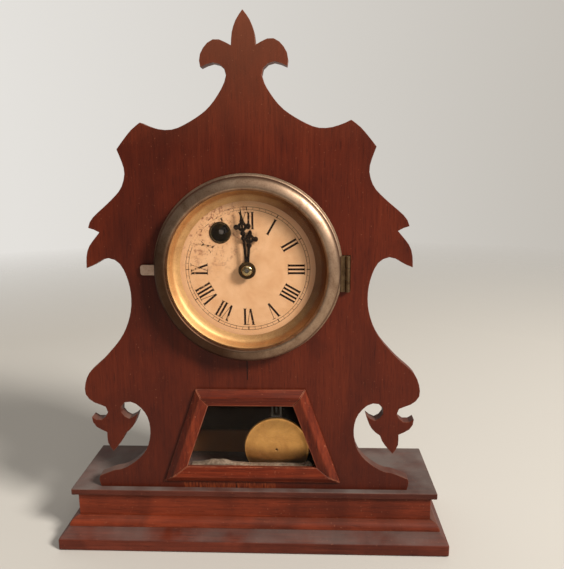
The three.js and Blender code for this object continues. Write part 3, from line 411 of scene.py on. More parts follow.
class Wiring:
    """A node tree with short ways to add and link its nodes.

    Each kind of mix is its type and the numbers of its two inputs and its output, because the Mix
    node's sockets for colours and for values have the same names.
    """

    COLOUR_MIX = ("RGBA", 6, 7, 2)
    VALUE_MIX = ("FLOAT", 2, 3, 0)

    def __init__(self, tree: bpy.types.NodeTree) -> None:
        """Hold on to the tree that is wired."""
        self.tree = tree

    def add(self, kind: str, **settings: object) -> bpy.types.Node:
        """Add a node.

        Args:
            kind: the node's type.
            settings: its own settings by name.

        Returns:
            The node.
        """
        node = self.tree.nodes.new(kind)
        for key, value in settings.items():
            setattr(node, key, value)
        return node

    def link(self, source: bpy.types.NodeSocket, target: bpy.types.NodeSocket) -> None:
        """Link an output to an input."""
        self.tree.links.new(source, target)

    def feed(self, value: object, target: bpy.types.NodeSocket) -> None:
        """Link a socket to an input, or set the input to a plain value.

        Args:
            value: a socket, or a number, a colour or a vector.
            target: the input.
        """
        if isinstance(value, bpy.types.NodeSocket):
            self.link(value, target)
        else:
            target.default_value = value

    def math(
        self,
        operation: str,
        first: object,
        second: object = None,
        third: object = None,
        clamp: bool = True,
    ) -> bpy.types.NodeSocket:
        """A step of arithmetic.

        Args:
            operation: the step.
            first: its first value.
            second: its second value, where it has one.
            third: its third value, where it has one.
            clamp: whether the result is kept from 0 to 1.

        Returns:
            The result.
        """
        node = self.add("ShaderNodeMath", operation=operation, use_clamp=clamp)
        for value, target in zip((first, second, third), node.inputs):
            if value is not None:
                self.feed(value, target)
        return node.outputs[0]

    def product(self, first: object, second: object) -> bpy.types.NodeSocket:
        """The product of two values, kept from 0 to 1."""
        return self.math("MULTIPLY", first, second)

    def within(self, value: object, middle: float, half: float) -> bpy.types.NodeSocket:
        """1 where a value is within half of a middle, and 0 elsewhere."""
        return self.math("COMPARE", value, middle, half, clamp=False)

    def axes(self, vector: object) -> Sockets:
        """A vector's parts.

        Args:
            vector: the vector.

        Returns:
            Its X, Y and Z by name.
        """
        node = self.add("ShaderNodeSeparateXYZ")
        self.feed(vector, node.inputs[0])
        return {axis: node.outputs[axis] for axis in "XYZ"}

    def distance(self, place: object, point: Sequence[float]) -> bpy.types.NodeSocket:
        """How far a place lies from a point.

        Args:
            place: the place.
            point: the point, in metres.

        Returns:
            The distance in metres.
        """
        node = self.add("ShaderNodeVectorMath", operation="DISTANCE")
        self.feed(place, node.inputs[0])
        self.feed(point, node.inputs[1])
        return node.outputs["Value"]

    def mapped(self, vector: object, setting: str, value: Sequence[float]) -> bpy.types.NodeSocket:
        """A vector that is scaled or turned.

        Args:
            vector: the vector.
            setting: Scale or Rotation.
            value: how far, along or about each axis.

        Returns:
            The changed vector.
        """
        node = self.add("ShaderNodeMapping")
        self.feed(vector, node.inputs["Vector"])
        self.feed(value, node.inputs[setting])
        return node.outputs["Vector"]

    def noise(
        self,
        place: object,
        scale: float | Place,
        detail: float = 2,
        roughness: float = 0.5,
        distortion: float = 0.0,
    ) -> bpy.types.NodeSocket:
        """Smooth noise from 0 to 1.

        Args:
            place: where it is read.
            scale: waves in a metre, alike along all axes or one for each.
            detail: how many finer layers it has.
            roughness: how strong they are.
            distortion: how far it is warped.

        Returns:
            The noise.
        """
        along = scale if isinstance(scale, tuple) else (scale, scale, scale)
        node = self.add("ShaderNodeTexNoise")
        self.link(self.mapped(place, "Scale", along), node.inputs["Vector"])
        node.inputs["Scale"].default_value = 1
        node.inputs["Detail"].default_value = detail
        node.inputs["Roughness"].default_value = roughness
        node.inputs["Distortion"].default_value = distortion
        return node.outputs["Fac"]

    def span(self, value: object, low: float, high: float) -> bpy.types.NodeSocket:
        """A value spread out and kept from 0 to 1.

        Args:
            value: the value.
            low: what becomes 0.
            high: what becomes 1.

        Returns:
            The spread value.
        """
        node = self.add("ShaderNodeMapRange", clamp=True)
        self.feed(value, node.inputs["Value"])
        node.inputs["From Min"].default_value = low
        node.inputs["From Max"].default_value = high
        return node.outputs["Result"]

    def ramp(
        self, value: object, stops: Sequence[tuple[float, Colour]]
    ) -> bpy.types.NodeSocket:
        """A colour that runs through stops.

        Args:
            value: the place on the ramp.
            stops: pairs of a place and a colour, in rising order.

        Returns:
            The colour.
        """
        node = self.add("ShaderNodeValToRGB")
        self.feed(value, node.inputs["Fac"])
        elements = node.color_ramp.elements
        elements[0].position, elements[0].color = stops[0]
        elements[1].position, elements[1].color = stops[-1]
        for place, colour in stops[1:-1]:
            elements.new(place).color = colour
        return node.outputs["Color"]

    def mix(self, amount: object, first: object, second: object) -> bpy.types.NodeSocket:
        """A colour mixed from two, with an amount of the second."""
        return self._mixed(self.COLOUR_MIX, amount, first, second)

    def blur(self, amount: object, first: object, second: object) -> bpy.types.NodeSocket:
        """A value mixed from two, with an amount of the second."""
        return self._mixed(self.VALUE_MIX, amount, first, second)

    def _mixed(
        self, kind: tuple[str, int, int, int], amount: object, first: object, second: object
    ) -> bpy.types.NodeSocket:
        """Two colours or two values mixed.

        Args:
            kind: the kind of mix.
            amount: how much of the second there is.
            first: the first of the two.
            second: the second of the two.

        Returns:
            The mix.
        """
        data_type, low, high, result = kind
        node = self.add("ShaderNodeMix", data_type=data_type)
        for value, number in ((amount, 0), (first, low), (second, high)):
            self.feed(value, node.inputs[number])
        return node.outputs[result]

    def bump(self, height: object, strength: float, distance: float) -> bpy.types.NodeSocket:
        """A normal from a height.

        Args:
            height: the height, 0 to 1.
            strength: how much of it shows.
            distance: what a height of 1 stands for, in metres.

        Returns:
            The normal.
        """
        node = self.add("ShaderNodeBump")
        self.feed(height, node.inputs["Height"])
        node.inputs["Strength"].default_value = strength
        node.inputs["Distance"].default_value = distance
        return node.outputs["Normal"]

    def group(self, tree: bpy.types.NodeTree, **values: object) -> Sockets:
        """Place a shared group.

        Args:
            tree: the group.
            values: what its inputs are fed, by their names in small letters.

        Returns:
            Its outputs by name.
        """
        node = self.add("ShaderNodeGroup")
        node.node_tree = tree
        for key, value in values.items():
            self.feed(value, node.inputs[key.title()])
        return {socket.name: socket for socket in node.outputs}


class Effects:
    """Shared shader groups, each made once. Each pair is what becomes 0 and what becomes 1."""

    PLACE = {"Vector": "NodeSocketVector"}
    VALUE = "NodeSocketFloat"
    PORES = (0.58, 0.70)
    BEND = (0.006, 0.09)
    WORN_PATCHES = (0.36, 0.66)
    FACING_UP = (0.35, 0.95)
    DUST_PATCHES = (0.3, 0.62)
    DUST_SPECKS = (0.2, 0.75)
    BLOTCHES = (0.34, 0.68)
    SPECKLE = (0.45, 0.72)

    _made: dict[str, bpy.types.NodeTree] = {}

    @classmethod
    def _once(
        cls,
        name: str,
        inputs: dict[str, str],
        wire: Callable[[Wiring, bpy.types.Node], Sockets],
    ) -> bpy.types.NodeTree:
        """A group that is made at its first use.

        Args:
            name: the group's name.
            inputs: its inputs' names and types.
            wire: wires it from its input node and gives its outputs by name.

        Returns:
            The group.
        """
        if name not in cls._made:
            tree = bpy.data.node_groups.new(name, "ShaderNodeTree")
            for socket, kind in inputs.items():
                tree.interface.new_socket(name=socket, in_out="INPUT", socket_type=kind)
            wiring = Wiring(tree)
            results = wire(wiring, wiring.add("NodeGroupInput"))
            for socket in results:
                tree.interface.new_socket(name=socket, in_out="OUTPUT", socket_type=cls.VALUE)
            end = wiring.add("NodeGroupOutput")
            for socket, value in results.items():
                wiring.link(value, end.inputs[socket])
            cls._made[name] = tree
        return cls._made[name]

    @classmethod
    def grain(cls) -> bpy.types.NodeTree:
        """Wood grain along the vector's Z."""
        return cls._once("wood_grain", cls.PLACE, cls._wire_grain)

    @classmethod
    def wear(cls) -> bpy.types.NodeTree:
        """Rubbed edges, where the surface bends within a radius."""
        return cls._once("edge_wear", {**cls.PLACE, "Radius": cls.VALUE}, cls._wire_wear)

    @classmethod
    def dust(cls) -> bpy.types.NodeTree:
        """Dust that lies on what faces up."""
        return cls._once("dust", {**cls.PLACE, "Amount": cls.VALUE}, cls._wire_dust)

    @classmethod
    def tarnish(cls) -> bpy.types.NodeTree:
        """Blotches and fine speckle of old metal."""
        return cls._once("tarnish", cls.PLACE, cls._wire_tarnish)

    @staticmethod
    def _wire_grain(wiring: Wiring, start: bpy.types.Node) -> Sockets:
        """Broad bands, fine streaks and open pores.

        Args:
            wiring: the group's wiring.
            start: its input node.

        Returns:
            The group's outputs.
        """
        place = start.outputs["Vector"]
        bands = wiring.noise(place, (42, 42, 4), detail=4, distortion=0.8)
        streaks = wiring.noise(place, (520, 520, 22), detail=5, roughness=0.62, distortion=0.15)
        pores = wiring.noise(place, (1900, 1900, 95))
        return {"Bands": bands, "Streaks": streaks, "Pores": wiring.span(pores, *Effects.PORES)}

    @staticmethod
    def _wire_wear(wiring: Wiring, start: bpy.types.Node) -> Sockets:
        """How far the rounded normal leaves the true one, broken up by noise.

        Args:
            wiring: the group's wiring.
            start: its input node.

        Returns:
            The group's output.
        """
        rounded = wiring.add("ShaderNodeBevel", samples=4)
        wiring.link(start.outputs["Radius"], rounded.inputs["Radius"])
        flat = wiring.add("ShaderNodeNewGeometry")
        alike = wiring.add("ShaderNodeVectorMath", operation="DOT_PRODUCT")
        wiring.link(rounded.outputs["Normal"], alike.inputs[0])
        wiring.link(flat.outputs["Normal"], alike.inputs[1])
        apart = wiring.math("SUBTRACT", 1.0, alike.outputs["Value"])
        bend = wiring.span(apart, *Effects.BEND)
        patches = wiring.noise(start.outputs["Vector"], 130, detail=4, roughness=0.65)
        broken = wiring.span(patches, *Effects.WORN_PATCHES)
        return {"Mask": wiring.product(bend, broken)}

    @staticmethod
    def _wire_dust(wiring: Wiring, start: bpy.types.Node) -> Sockets:
        """A film on what faces up, wiped away in broad patches and fine specks.

        Args:
            wiring: the group's wiring.
            start: its input node.

        Returns:
            The group's output.
        """
        place = start.outputs["Vector"]
        up = wiring.axes(wiring.add("ShaderNodeNewGeometry").outputs["Normal"])["Z"]
        facing = wiring.span(up, *Effects.FACING_UP)
        patches = wiring.noise(place, 22, detail=3, roughness=0.6)
        broad = wiring.span(patches, *Effects.DUST_PATCHES)
        specks = wiring.noise(place, 420, detail=3, roughness=0.7)
        fine = wiring.span(specks, *Effects.DUST_SPECKS)
        film = wiring.blur(fine, broad, wiring.product(broad, fine))
        return {"Mask": wiring.product(wiring.product(facing, film), start.outputs["Amount"])}

    @staticmethod
    def _wire_tarnish(wiring: Wiring, start: bpy.types.Node) -> Sockets:
        """Blotches and speckle.

        Args:
            wiring: the group's wiring.
            start: its input node.

        Returns:
            The group's outputs.
        """
        place = start.outputs["Vector"]
        blotch = wiring.noise(place, 85, detail=5, roughness=0.62, distortion=0.6)
        speckle = wiring.noise(place, 900, detail=3, roughness=0.7)
        return {
            "Blotch": wiring.span(blotch, *Effects.BLOTCHES),
            "Speckle": wiring.span(speckle, *Effects.SPECKLE),
        }


class Surface(Wiring):
    """A material's tree with its shader and the place on the clock."""

    def __init__(self, material: bpy.types.Material) -> None:
        """Open a material's tree.

        Args:
            material: the material, with its nodes in use.
        """
        super().__init__(material.node_tree)
        self.shader = material.node_tree.nodes["Principled BSDF"]
        self.place = self.add("ShaderNodeTexCoord").outputs["Object"]

    def put(self, name: str, value: object) -> None:
        """Feed one of the shader's inputs."""
        self.feed(value, self.shader.inputs[name])

    def rubbed(
        self, colour: object, bare: Colour, reach: float, amount: float
    ) -> bpy.types.NodeSocket:
        """A colour that is rubbed through at the edges.

        Args:
            colour: the colour.
            bare: what shows where it is rubbed.
            reach: how far from an edge it is rubbed, in metres.
            amount: how much shows.

        Returns:
            The rubbed colour.
        """
        mask = self.group(Effects.wear(), vector=self.place, radius=reach)["Mask"]
        return self.mix(self.product(mask, amount), colour, bare)


# ------------------------------------------------------------------ finishes


@dataclass(frozen=True)
class Finish:
    """A finish with its material's name."""

    name: str

    def material(self) -> bpy.types.Material:
        """The finish's material, made at its first use.

        Returns:
            The material.
        """
        found = bpy.data.materials.get(self.name)
        if found is not None:
            return found
        material = bpy.data.materials.new(self.name)
        material.use_nodes = True
        self.wire(Surface(material))
        return material

    def wire(self, surface: Surface) -> None:
        """Wire the finish, which each kind does in its own way."""
        raise NotImplementedError


@dataclass(frozen=True)
class Wood(Finish):
    """Varnished or bare wood with its grain along one axis."""

    grain: Grain = Grain.UPRIGHT
    deep: Colour = srgb(48, 16, 10)
    dark: Colour = srgb(68, 24, 13)
    middle: Colour = srgb(89, 32, 16)
    light: Colour = srgb(108, 43, 22)
    worn: Colour = srgb(160, 100, 72)
    dust_and_sheen_colour: Colour = srgb(128, 106, 94)
    dust: float = 0.75
    varnish: float = 0.06
    roughness: float = 0.44
    wear: float = 0.4
    wear_reach: float = 0.9 * MM
    dusty_roughness: float = 0.9
    smoother: float = 0.08
    rougher: float = 0.1
    tones: tuple[float, float, float] = (0.27, 0.50, 0.74)
    pore_depth: float = 0.5
    mottled: Span = (0.46, 0.66)
    mottling: float = 0.5
    specked: Span = (0.69, 0.73)
    specks: float = 0.38
    bump: float = 0.3
    relief: float = 0.15 * MM

    def wire(self, surface: Surface) -> None:
        """Wire grain, pores, rubbed edges and dust, whose grey on the ledge and the bottom board
        is partly a painted sheen.

        Args:
            surface: the material's tree.
        """
        along = surface.mapped(surface.place, "Rotation", self.grain.value)
        grain = surface.group(Effects.grain(), vector=along)
        pores = surface.product(grain["Pores"], self.pore_depth)
        dust = surface.group(Effects.dust(), vector=surface.place, amount=self.dust)["Mask"]
        colour = self._bare(surface, grain, pores)
        colour = self.marks(surface, colour)
        colour = surface.rubbed(colour, self.worn, self.wear_reach, self.wear)
        # Dust on what faces up; on the ledge and the bottom board its grey also stands for a
        # painted sheen.
        surface.put("Base Color", surface.mix(dust, colour, self.dust_and_sheen_colour))
        smoothest = self.roughness - self.smoother
        roughness = surface.blur(grain["Streaks"], smoothest, self.roughness + self.rougher)
        surface.put("Roughness", surface.blur(dust, roughness, self.dusty_roughness))
        surface.put("Coat Weight", surface.math("SUBTRACT", self.varnish, dust))
        surface.put("Coat Roughness", 0.24)
        surface.put("Specular IOR Level", 0.14)
        height = surface.math("SUBTRACT", grain["Streaks"], pores)
        surface.put("Normal", surface.bump(height, self.bump, self.relief))

    def _bare(
        self, surface: Surface, grain: Sockets, pores: bpy.types.NodeSocket
    ) -> bpy.types.NodeSocket:
        """The colour of the wood itself, mottled and finely specked.

        Args:
            surface: the material's tree.
            grain: the grain's bands and streaks.
            pores: how deep the pores are.

        Returns:
            The colour.
        """
        tone = surface.blur(0.5, grain["Bands"], grain["Streaks"])
        stops = tuple(zip(self.tones, (self.dark, self.middle, self.light)))
        colour = surface.mix(pores, surface.ramp(tone, stops), self.deep)
        clouds = surface.noise(
            surface.place, (24, 24, 13), detail=4, roughness=0.55, distortion=0.5
        )
        shade = surface.product(surface.span(clouds, *self.mottled), self.mottling)
        colour = surface.mix(shade, colour, self.deep)
        grit = surface.span(surface.noise(surface.place, 640), *self.specked)
        return surface.mix(surface.product(grit, self.specks), colour, self.worn)

    def marks(self, surface: Surface, colour: bpy.types.NodeSocket) -> bpy.types.NodeSocket:
        """Marks of use on the bare colour, of which plain wood has none."""
        return colour


@dataclass(frozen=True)
class BoxWood(Wood):
    """Wood of the box, with painted shade on the faces that look inwards and painted light on a
    paler foot.
    """

    half_width: float = 61.3 * MM
    back: float = 32.4 * MM
    lid: float = 279.3 * MM
    lit_foot_top: float = 65 * MM
    lit_foot_full: float = 62.5 * MM
    painted_shade_colour: Colour = srgb(24, 13, 10)
    painted_lit_foot_colour: Colour = srgb(24, 13, 10)
    painted_shade: float = 0.9

    def marks(self, surface: Surface, colour: bpy.types.NodeSocket) -> bpy.types.NodeSocket:
        """Paint shade on what lies within the box, and painted light on its foot where the foot is
        paler.

        Args:
            surface: the material's tree.
            colour: the bare colour.

        Returns:
            The marked colour.
        """
        axes = surface.axes(surface.place)
        across = surface.math("ABSOLUTE", axes["X"], clamp=False)
        within = surface.math("LESS_THAN", across, self.half_width)
        for axis, limit in (("Y", self.back), ("Z", self.lid)):
            within = surface.product(within, surface.math("LESS_THAN", axes[axis], limit))
        # Painted shade inside the box, turning to a paler painted-light colour on the foot below
        # the window.
        low = surface.span(axes["Z"], self.lit_foot_top, self.lit_foot_full)
        painted_shade = surface.mix(low, self.painted_shade_colour, self.painted_lit_foot_colour)
        return surface.mix(surface.product(within, self.painted_shade), colour, painted_shade)


@dataclass(frozen=True)
class Crack:
    """An open crack along the grain: its x, its lower and upper end and half its width."""

    x: float
    low: float
    high: float
    half: float


@dataclass(frozen=True)
class CrackedWood(Wood):
    """Wood with open cracks, painted shade towards its foot, a painted sheen towards its top and a
    chafed strip.
    """

    cracks: tuple[Crack, ...] = ()
    crack_dark: Colour = srgb(24, 9, 7)
    wander: float = 1.2 * MM
    foot: float = 50 * MM
    painted_shade_to: float = 190 * MM
    grime_and_painted_shade: float = 0.36
    painted_sheen_from: float = 300 * MM
    crest: float = 385 * MM
    painted_sheen: float = 0.26
    chafed: Colour = srgb(164, 80, 42)
    splintered: Span = (0.42, 0.66)
    chafing: float = 0.48
    chafed_x: float = -18 * MM
    chafed_half_width: float = 36 * MM
    chafed_z: float = 45 * MM
    chafed_half_height: float = 2.7 * MM

    def marks(self, surface: Surface, colour: bpy.types.NodeSocket) -> bpy.types.NodeSocket:
        """Add the cracks, the painted shade at the foot, the painted sheen at the top and the
        chafed strip.

        Args:
            surface: the material's tree.
            colour: the bare colour.

        Returns:
            The marked colour.
        """
        axes = surface.axes(surface.place)
        colour = self._cracked(surface, axes, colour)
        # Painted shade: the board gets darker towards its foot, where less light falls.
        foot = surface.span(axes["Z"], self.painted_shade_to, self.foot)
        colour = surface.mix(surface.product(foot, self.grime_and_painted_shade), colour, self.deep)
        # Painted sheen: the board gets lighter towards its crest.
        crest = surface.span(axes["Z"], self.painted_sheen_from, self.crest)
        colour = surface.mix(surface.product(crest, self.painted_sheen), colour, self.worn)
        splinters = surface.noise(surface.place, (760, 760, 110), detail=3, roughness=0.6)
        bare = surface.span(splinters, *self.splintered)
        for axis, middle, half in (
            ("X", self.chafed_x, self.chafed_half_width),
            ("Z", self.chafed_z, self.chafed_half_height),
        ):
            bare = surface.product(bare, surface.within(axes[axis], middle, half))
        return surface.mix(surface.product(bare, self.chafing), colour, self.chafed)

    def _cracked(
        self, surface: Surface, axes: Sockets, colour: bpy.types.NodeSocket
    ) -> bpy.types.NodeSocket:
        """Add the cracks, which wander a little across the grain.

        Args:
            surface: the material's tree.
            axes: the place's parts.
            colour: the bare colour.

        Returns:
            The cracked colour.
        """
        waves = surface.noise(surface.place, (0, 0, 160))
        across = surface.math("MULTIPLY_ADD", waves, self.wander, axes["X"], clamp=False)
        for crack in self.cracks:
            near = surface.within(across, crack.x + self.wander / 2, crack.half)
            middle = (crack.low + crack.high) / 2
            level = surface.within(axes["Z"], middle, crack.high - middle)
            colour = surface.mix(surface.product(near, level), colour, self.crack_dark)
        return colour


@dataclass(frozen=True)
class ColourSpot:
    """A soft round spot of colour: its middle, how far it is full, where it ends, its colour and
    strength.
    """

    middle: Place
    full: float
    end: float
    colour: Colour
    strength: float


@dataclass(frozen=True)
class Metal(Finish):
    """Old metal: a clean colour, a tarnished one, and how rough each is."""

    clean: Colour = srgb(176, 146, 84)
    tarnished: Colour = srgb(112, 82, 44)
    cover: float = 0.6
    speckle: float = 0.5
    polish: float = 0.3
    dull: float = 0.5
    bump: float = 0.12
    relief: float = 0.08 * MM
    wear: float = 0.0
    wear_reach: float = 0.5 * MM
    bright: Colour = srgb(214, 180, 112)
    colour_spots: tuple[ColourSpot, ...] = ()

    def wire(self, surface: Surface) -> None:
        """Wire blotches, speckle, colour spots and rubbed edges.

        Args:
            surface: the material's tree.
        """
        old = surface.group(Effects.tarnish(), vector=surface.place)
        blotches = surface.product(old["Blotch"], self.cover)
        specks = surface.product(old["Speckle"], self.cover * self.speckle)
        dull = surface.math("ADD", blotches, specks)
        colour = surface.mix(dull, self.clean, self.tarnished)
        # Colour spots; on the bezel, the sight ring and the bob most of them are painted shade or
        # a painted highlight.
        for colour_spot in self.colour_spots:
            away = surface.distance(surface.place, colour_spot.middle)
            near = surface.span(away, colour_spot.end, colour_spot.full)
            colour = surface.mix(surface.product(near, colour_spot.strength), colour, colour_spot.colour)
        if self.wear > 0:
            colour = surface.rubbed(colour, self.bright, self.wear_reach, self.wear)
        surface.put("Base Color", colour)
        surface.put("Roughness", surface.blur(dull, self.polish, self.dull))
        surface.put("Metallic", 1.0)
        height = surface.math("SUBTRACT", 1.0, dull)
        surface.put("Normal", surface.bump(height, self.bump, self.relief))


@dataclass(frozen=True)
class Paper(Finish):
    """Yellowed dial paper, with foxing at its upper left, a painted shadow that darkens its right,
    and grimy at its rim.
    """

    ground: Colour = srgb(214, 160, 112)
    pale: Colour = srgb(226, 176, 130)
    foxed_and_shadow_brown: Colour = srgb(128, 66, 36)
    mottled: Span = (0.35, 0.68)
    spotted: Span = (0.52, 0.64)
    grimy: Span = (0.3, 0.7)
    foxing_at: Point = (-24, 30)
    foxing_full: float = 10 * MM
    foxing_end: float = 40 * MM
    rim_from: float = 44 * MM
    rim_full: float = 53 * MM
    grime_and_painted_shade: float = 0.55
    unshadowed_at: Point = (-14, -4)
    painted_shadow_from: float = 52 * MM
    painted_shadow_full: float = 66 * MM
    painted_shadow: float = 0.6

    def wire(self, surface: Surface) -> None:
        """Wire the paper's mottling, foxing, rim dirt, painted shadow and fibres.

        Args:
            surface: the material's tree.
        """
        surface.put("Base Color", self.paper(surface))
        surface.put("Roughness", 0.62)
        fibre = surface.noise(surface.place, 1500, detail=3, roughness=0.6)
        surface.put("Normal", surface.bump(fibre, 0.12, 0.05 * MM))

    def paper(self, surface: Surface) -> bpy.types.NodeSocket:
        """The paper's colour, with its painted shadow.

        Args:
            surface: the material's tree.

        Returns:
            The colour.
        """
        place = surface.place
        clouds = surface.noise(place, 95, detail=4, roughness=0.6, distortion=0.4)
        colour = surface.mix(surface.span(clouds, *self.mottled), self.ground, self.pale)
        spots = surface.span(surface.noise(place, 330, detail=4, roughness=0.72), *self.spotted)
        corner = surface.distance(place, on_dial(*self.foxing_at))
        near = surface.span(corner, self.foxing_end, self.foxing_full)
        colour = surface.mix(surface.product(spots, near), colour, self.foxed_and_shadow_brown)
        rim = surface.span(surface.distance(place, DIAL_CENTRE), self.rim_from, self.rim_full)
        grime_and_painted_shade = surface.product(rim, surface.span(clouds, *self.grimy))
        colour = surface.mix(surface.product(grime_and_painted_shade, self.grime_and_painted_shade), colour, self.foxed_and_shadow_brown)
        # Painted shadow: the paper turns brown towards its right, where the bezel's shadow falls.
        away = surface.distance(place, on_dial(*self.unshadowed_at))
        painted_shadow_mask = surface.span(away, self.painted_shadow_from, self.painted_shadow_full)
        return surface.mix(surface.product(painted_shadow_mask, self.painted_shadow), colour, self.foxed_and_shadow_brown)


@dataclass(frozen=True)
class Ink(Paper):
    """Printed ink that has rubbed off the paper in specks, most at the upper left."""

    black: Colour = srgb(34, 17, 11)
    kept_x: float = 30 * MM
    lost_x: float = -44 * MM
    lost_aside: float = 0.09
    corner_at: Point = (-26, 34)
    corner_full: float = 12 * MM
    corner_end: float = 33 * MM
    lost_in_corner: float = 0.12
    broad_share: float = 0.45
    lost: Span = (0.62, 0.68)
    most_lost: float = 0.9

    def wire(self, surface: Surface) -> None:
        """Wire ink that gives way to the paper's colour where it is rubbed.

        Args:
            surface: the material's tree.
        """
        paper = self.paper(surface)
        fine = surface.noise(surface.place, 700, detail=3, roughness=0.6)
        broad = surface.noise(surface.place, 120)
        across = surface.axes(surface.place)["X"]
        aside = surface.span(across, self.kept_x, self.lost_x)
        corner = surface.distance(surface.place, on_dial(*self.corner_at))
        near = surface.span(corner, self.corner_end, self.corner_full)
        lost = surface.blur(self.broad_share, fine, broad)
        lost = surface.math("ADD", lost, surface.product(aside, self.lost_aside))
        lost = surface.math("ADD", lost, surface.product(near, self.lost_in_corner))
        rubbed = surface.product(surface.span(lost, *self.lost), self.most_lost)
        surface.put("Base Color", surface.mix(rubbed, self.black, paper))
        surface.put("Roughness", 0.85)
        surface.put("Specular IOR Level", 0.1)


@dataclass(frozen=True)
class Glass(Finish):
    """Thin old glass: nearly clear, with a film of dust."""

    tint: Colour = (0.62, 0.52, 0.42, 1.0)
    film: float = 0.004
    smear: float = 0.006
    smeared: Span = (0.4, 0.7)

    def wire(self, surface: Surface) -> None:
        """Wire a clear pane whose film varies.

        Args:
            surface: the material's tree.
        """
        surface.put("Base Color", self.tint)
        surface.put("Roughness", 0.03)
        surface.put("Specular IOR Level", 0.25)
        smear = surface.noise(surface.place, 40, detail=4, roughness=0.6, distortion=0.5)
        where = surface.span(smear, *self.smeared)
        surface.put("Alpha", surface.blur(where, self.film, self.film + self.smear))


@dataclass(frozen=True)
class Putty(Finish):
    """Dusty dried putty."""

    dark: Colour = srgb(84, 66, 50)
    middle: Colour = srgb(122, 102, 84)
    light: Colour = srgb(152, 134, 114)
    tones: tuple[float, float, float] = (0.32, 0.52, 0.7)
    bump: float = 0.7
    relief: float = 0.4 * MM

    def wire(self, surface: Surface) -> None:
        """Wire a chalky grey-brown lump.

        Args:
            surface: the material's tree.
        """
        lumps = surface.noise(surface.place, 260, detail=4, roughness=0.65)
        stops = tuple(zip(self.tones, (self.dark, self.middle, self.light)))
        surface.put("Base Color", surface.ramp(lumps, stops))
        surface.put("Roughness", 0.95)
        surface.put("Normal", surface.bump(lumps, self.bump, self.relief))


@dataclass(frozen=True)
class Floor(Finish):
    """A pale matt floor that fades out towards its rim."""

    colour: Colour = srgb(206, 201, 193)
    reach: float = 1.9
    full: float = 0.35

    def wire(self, surface: Surface) -> None:
        """Wire the colour and the fading rim.

        Args:
            surface: the material's tree.
        """
        surface.put("Base Color", self.colour)
        surface.put("Roughness", 0.9)
        surface.put("Specular IOR Level", 0.1)
        away = surface.distance(surface.place, (0, 0, 0))
        surface.put("Alpha", surface.span(away, self.reach, self.full * self.reach))


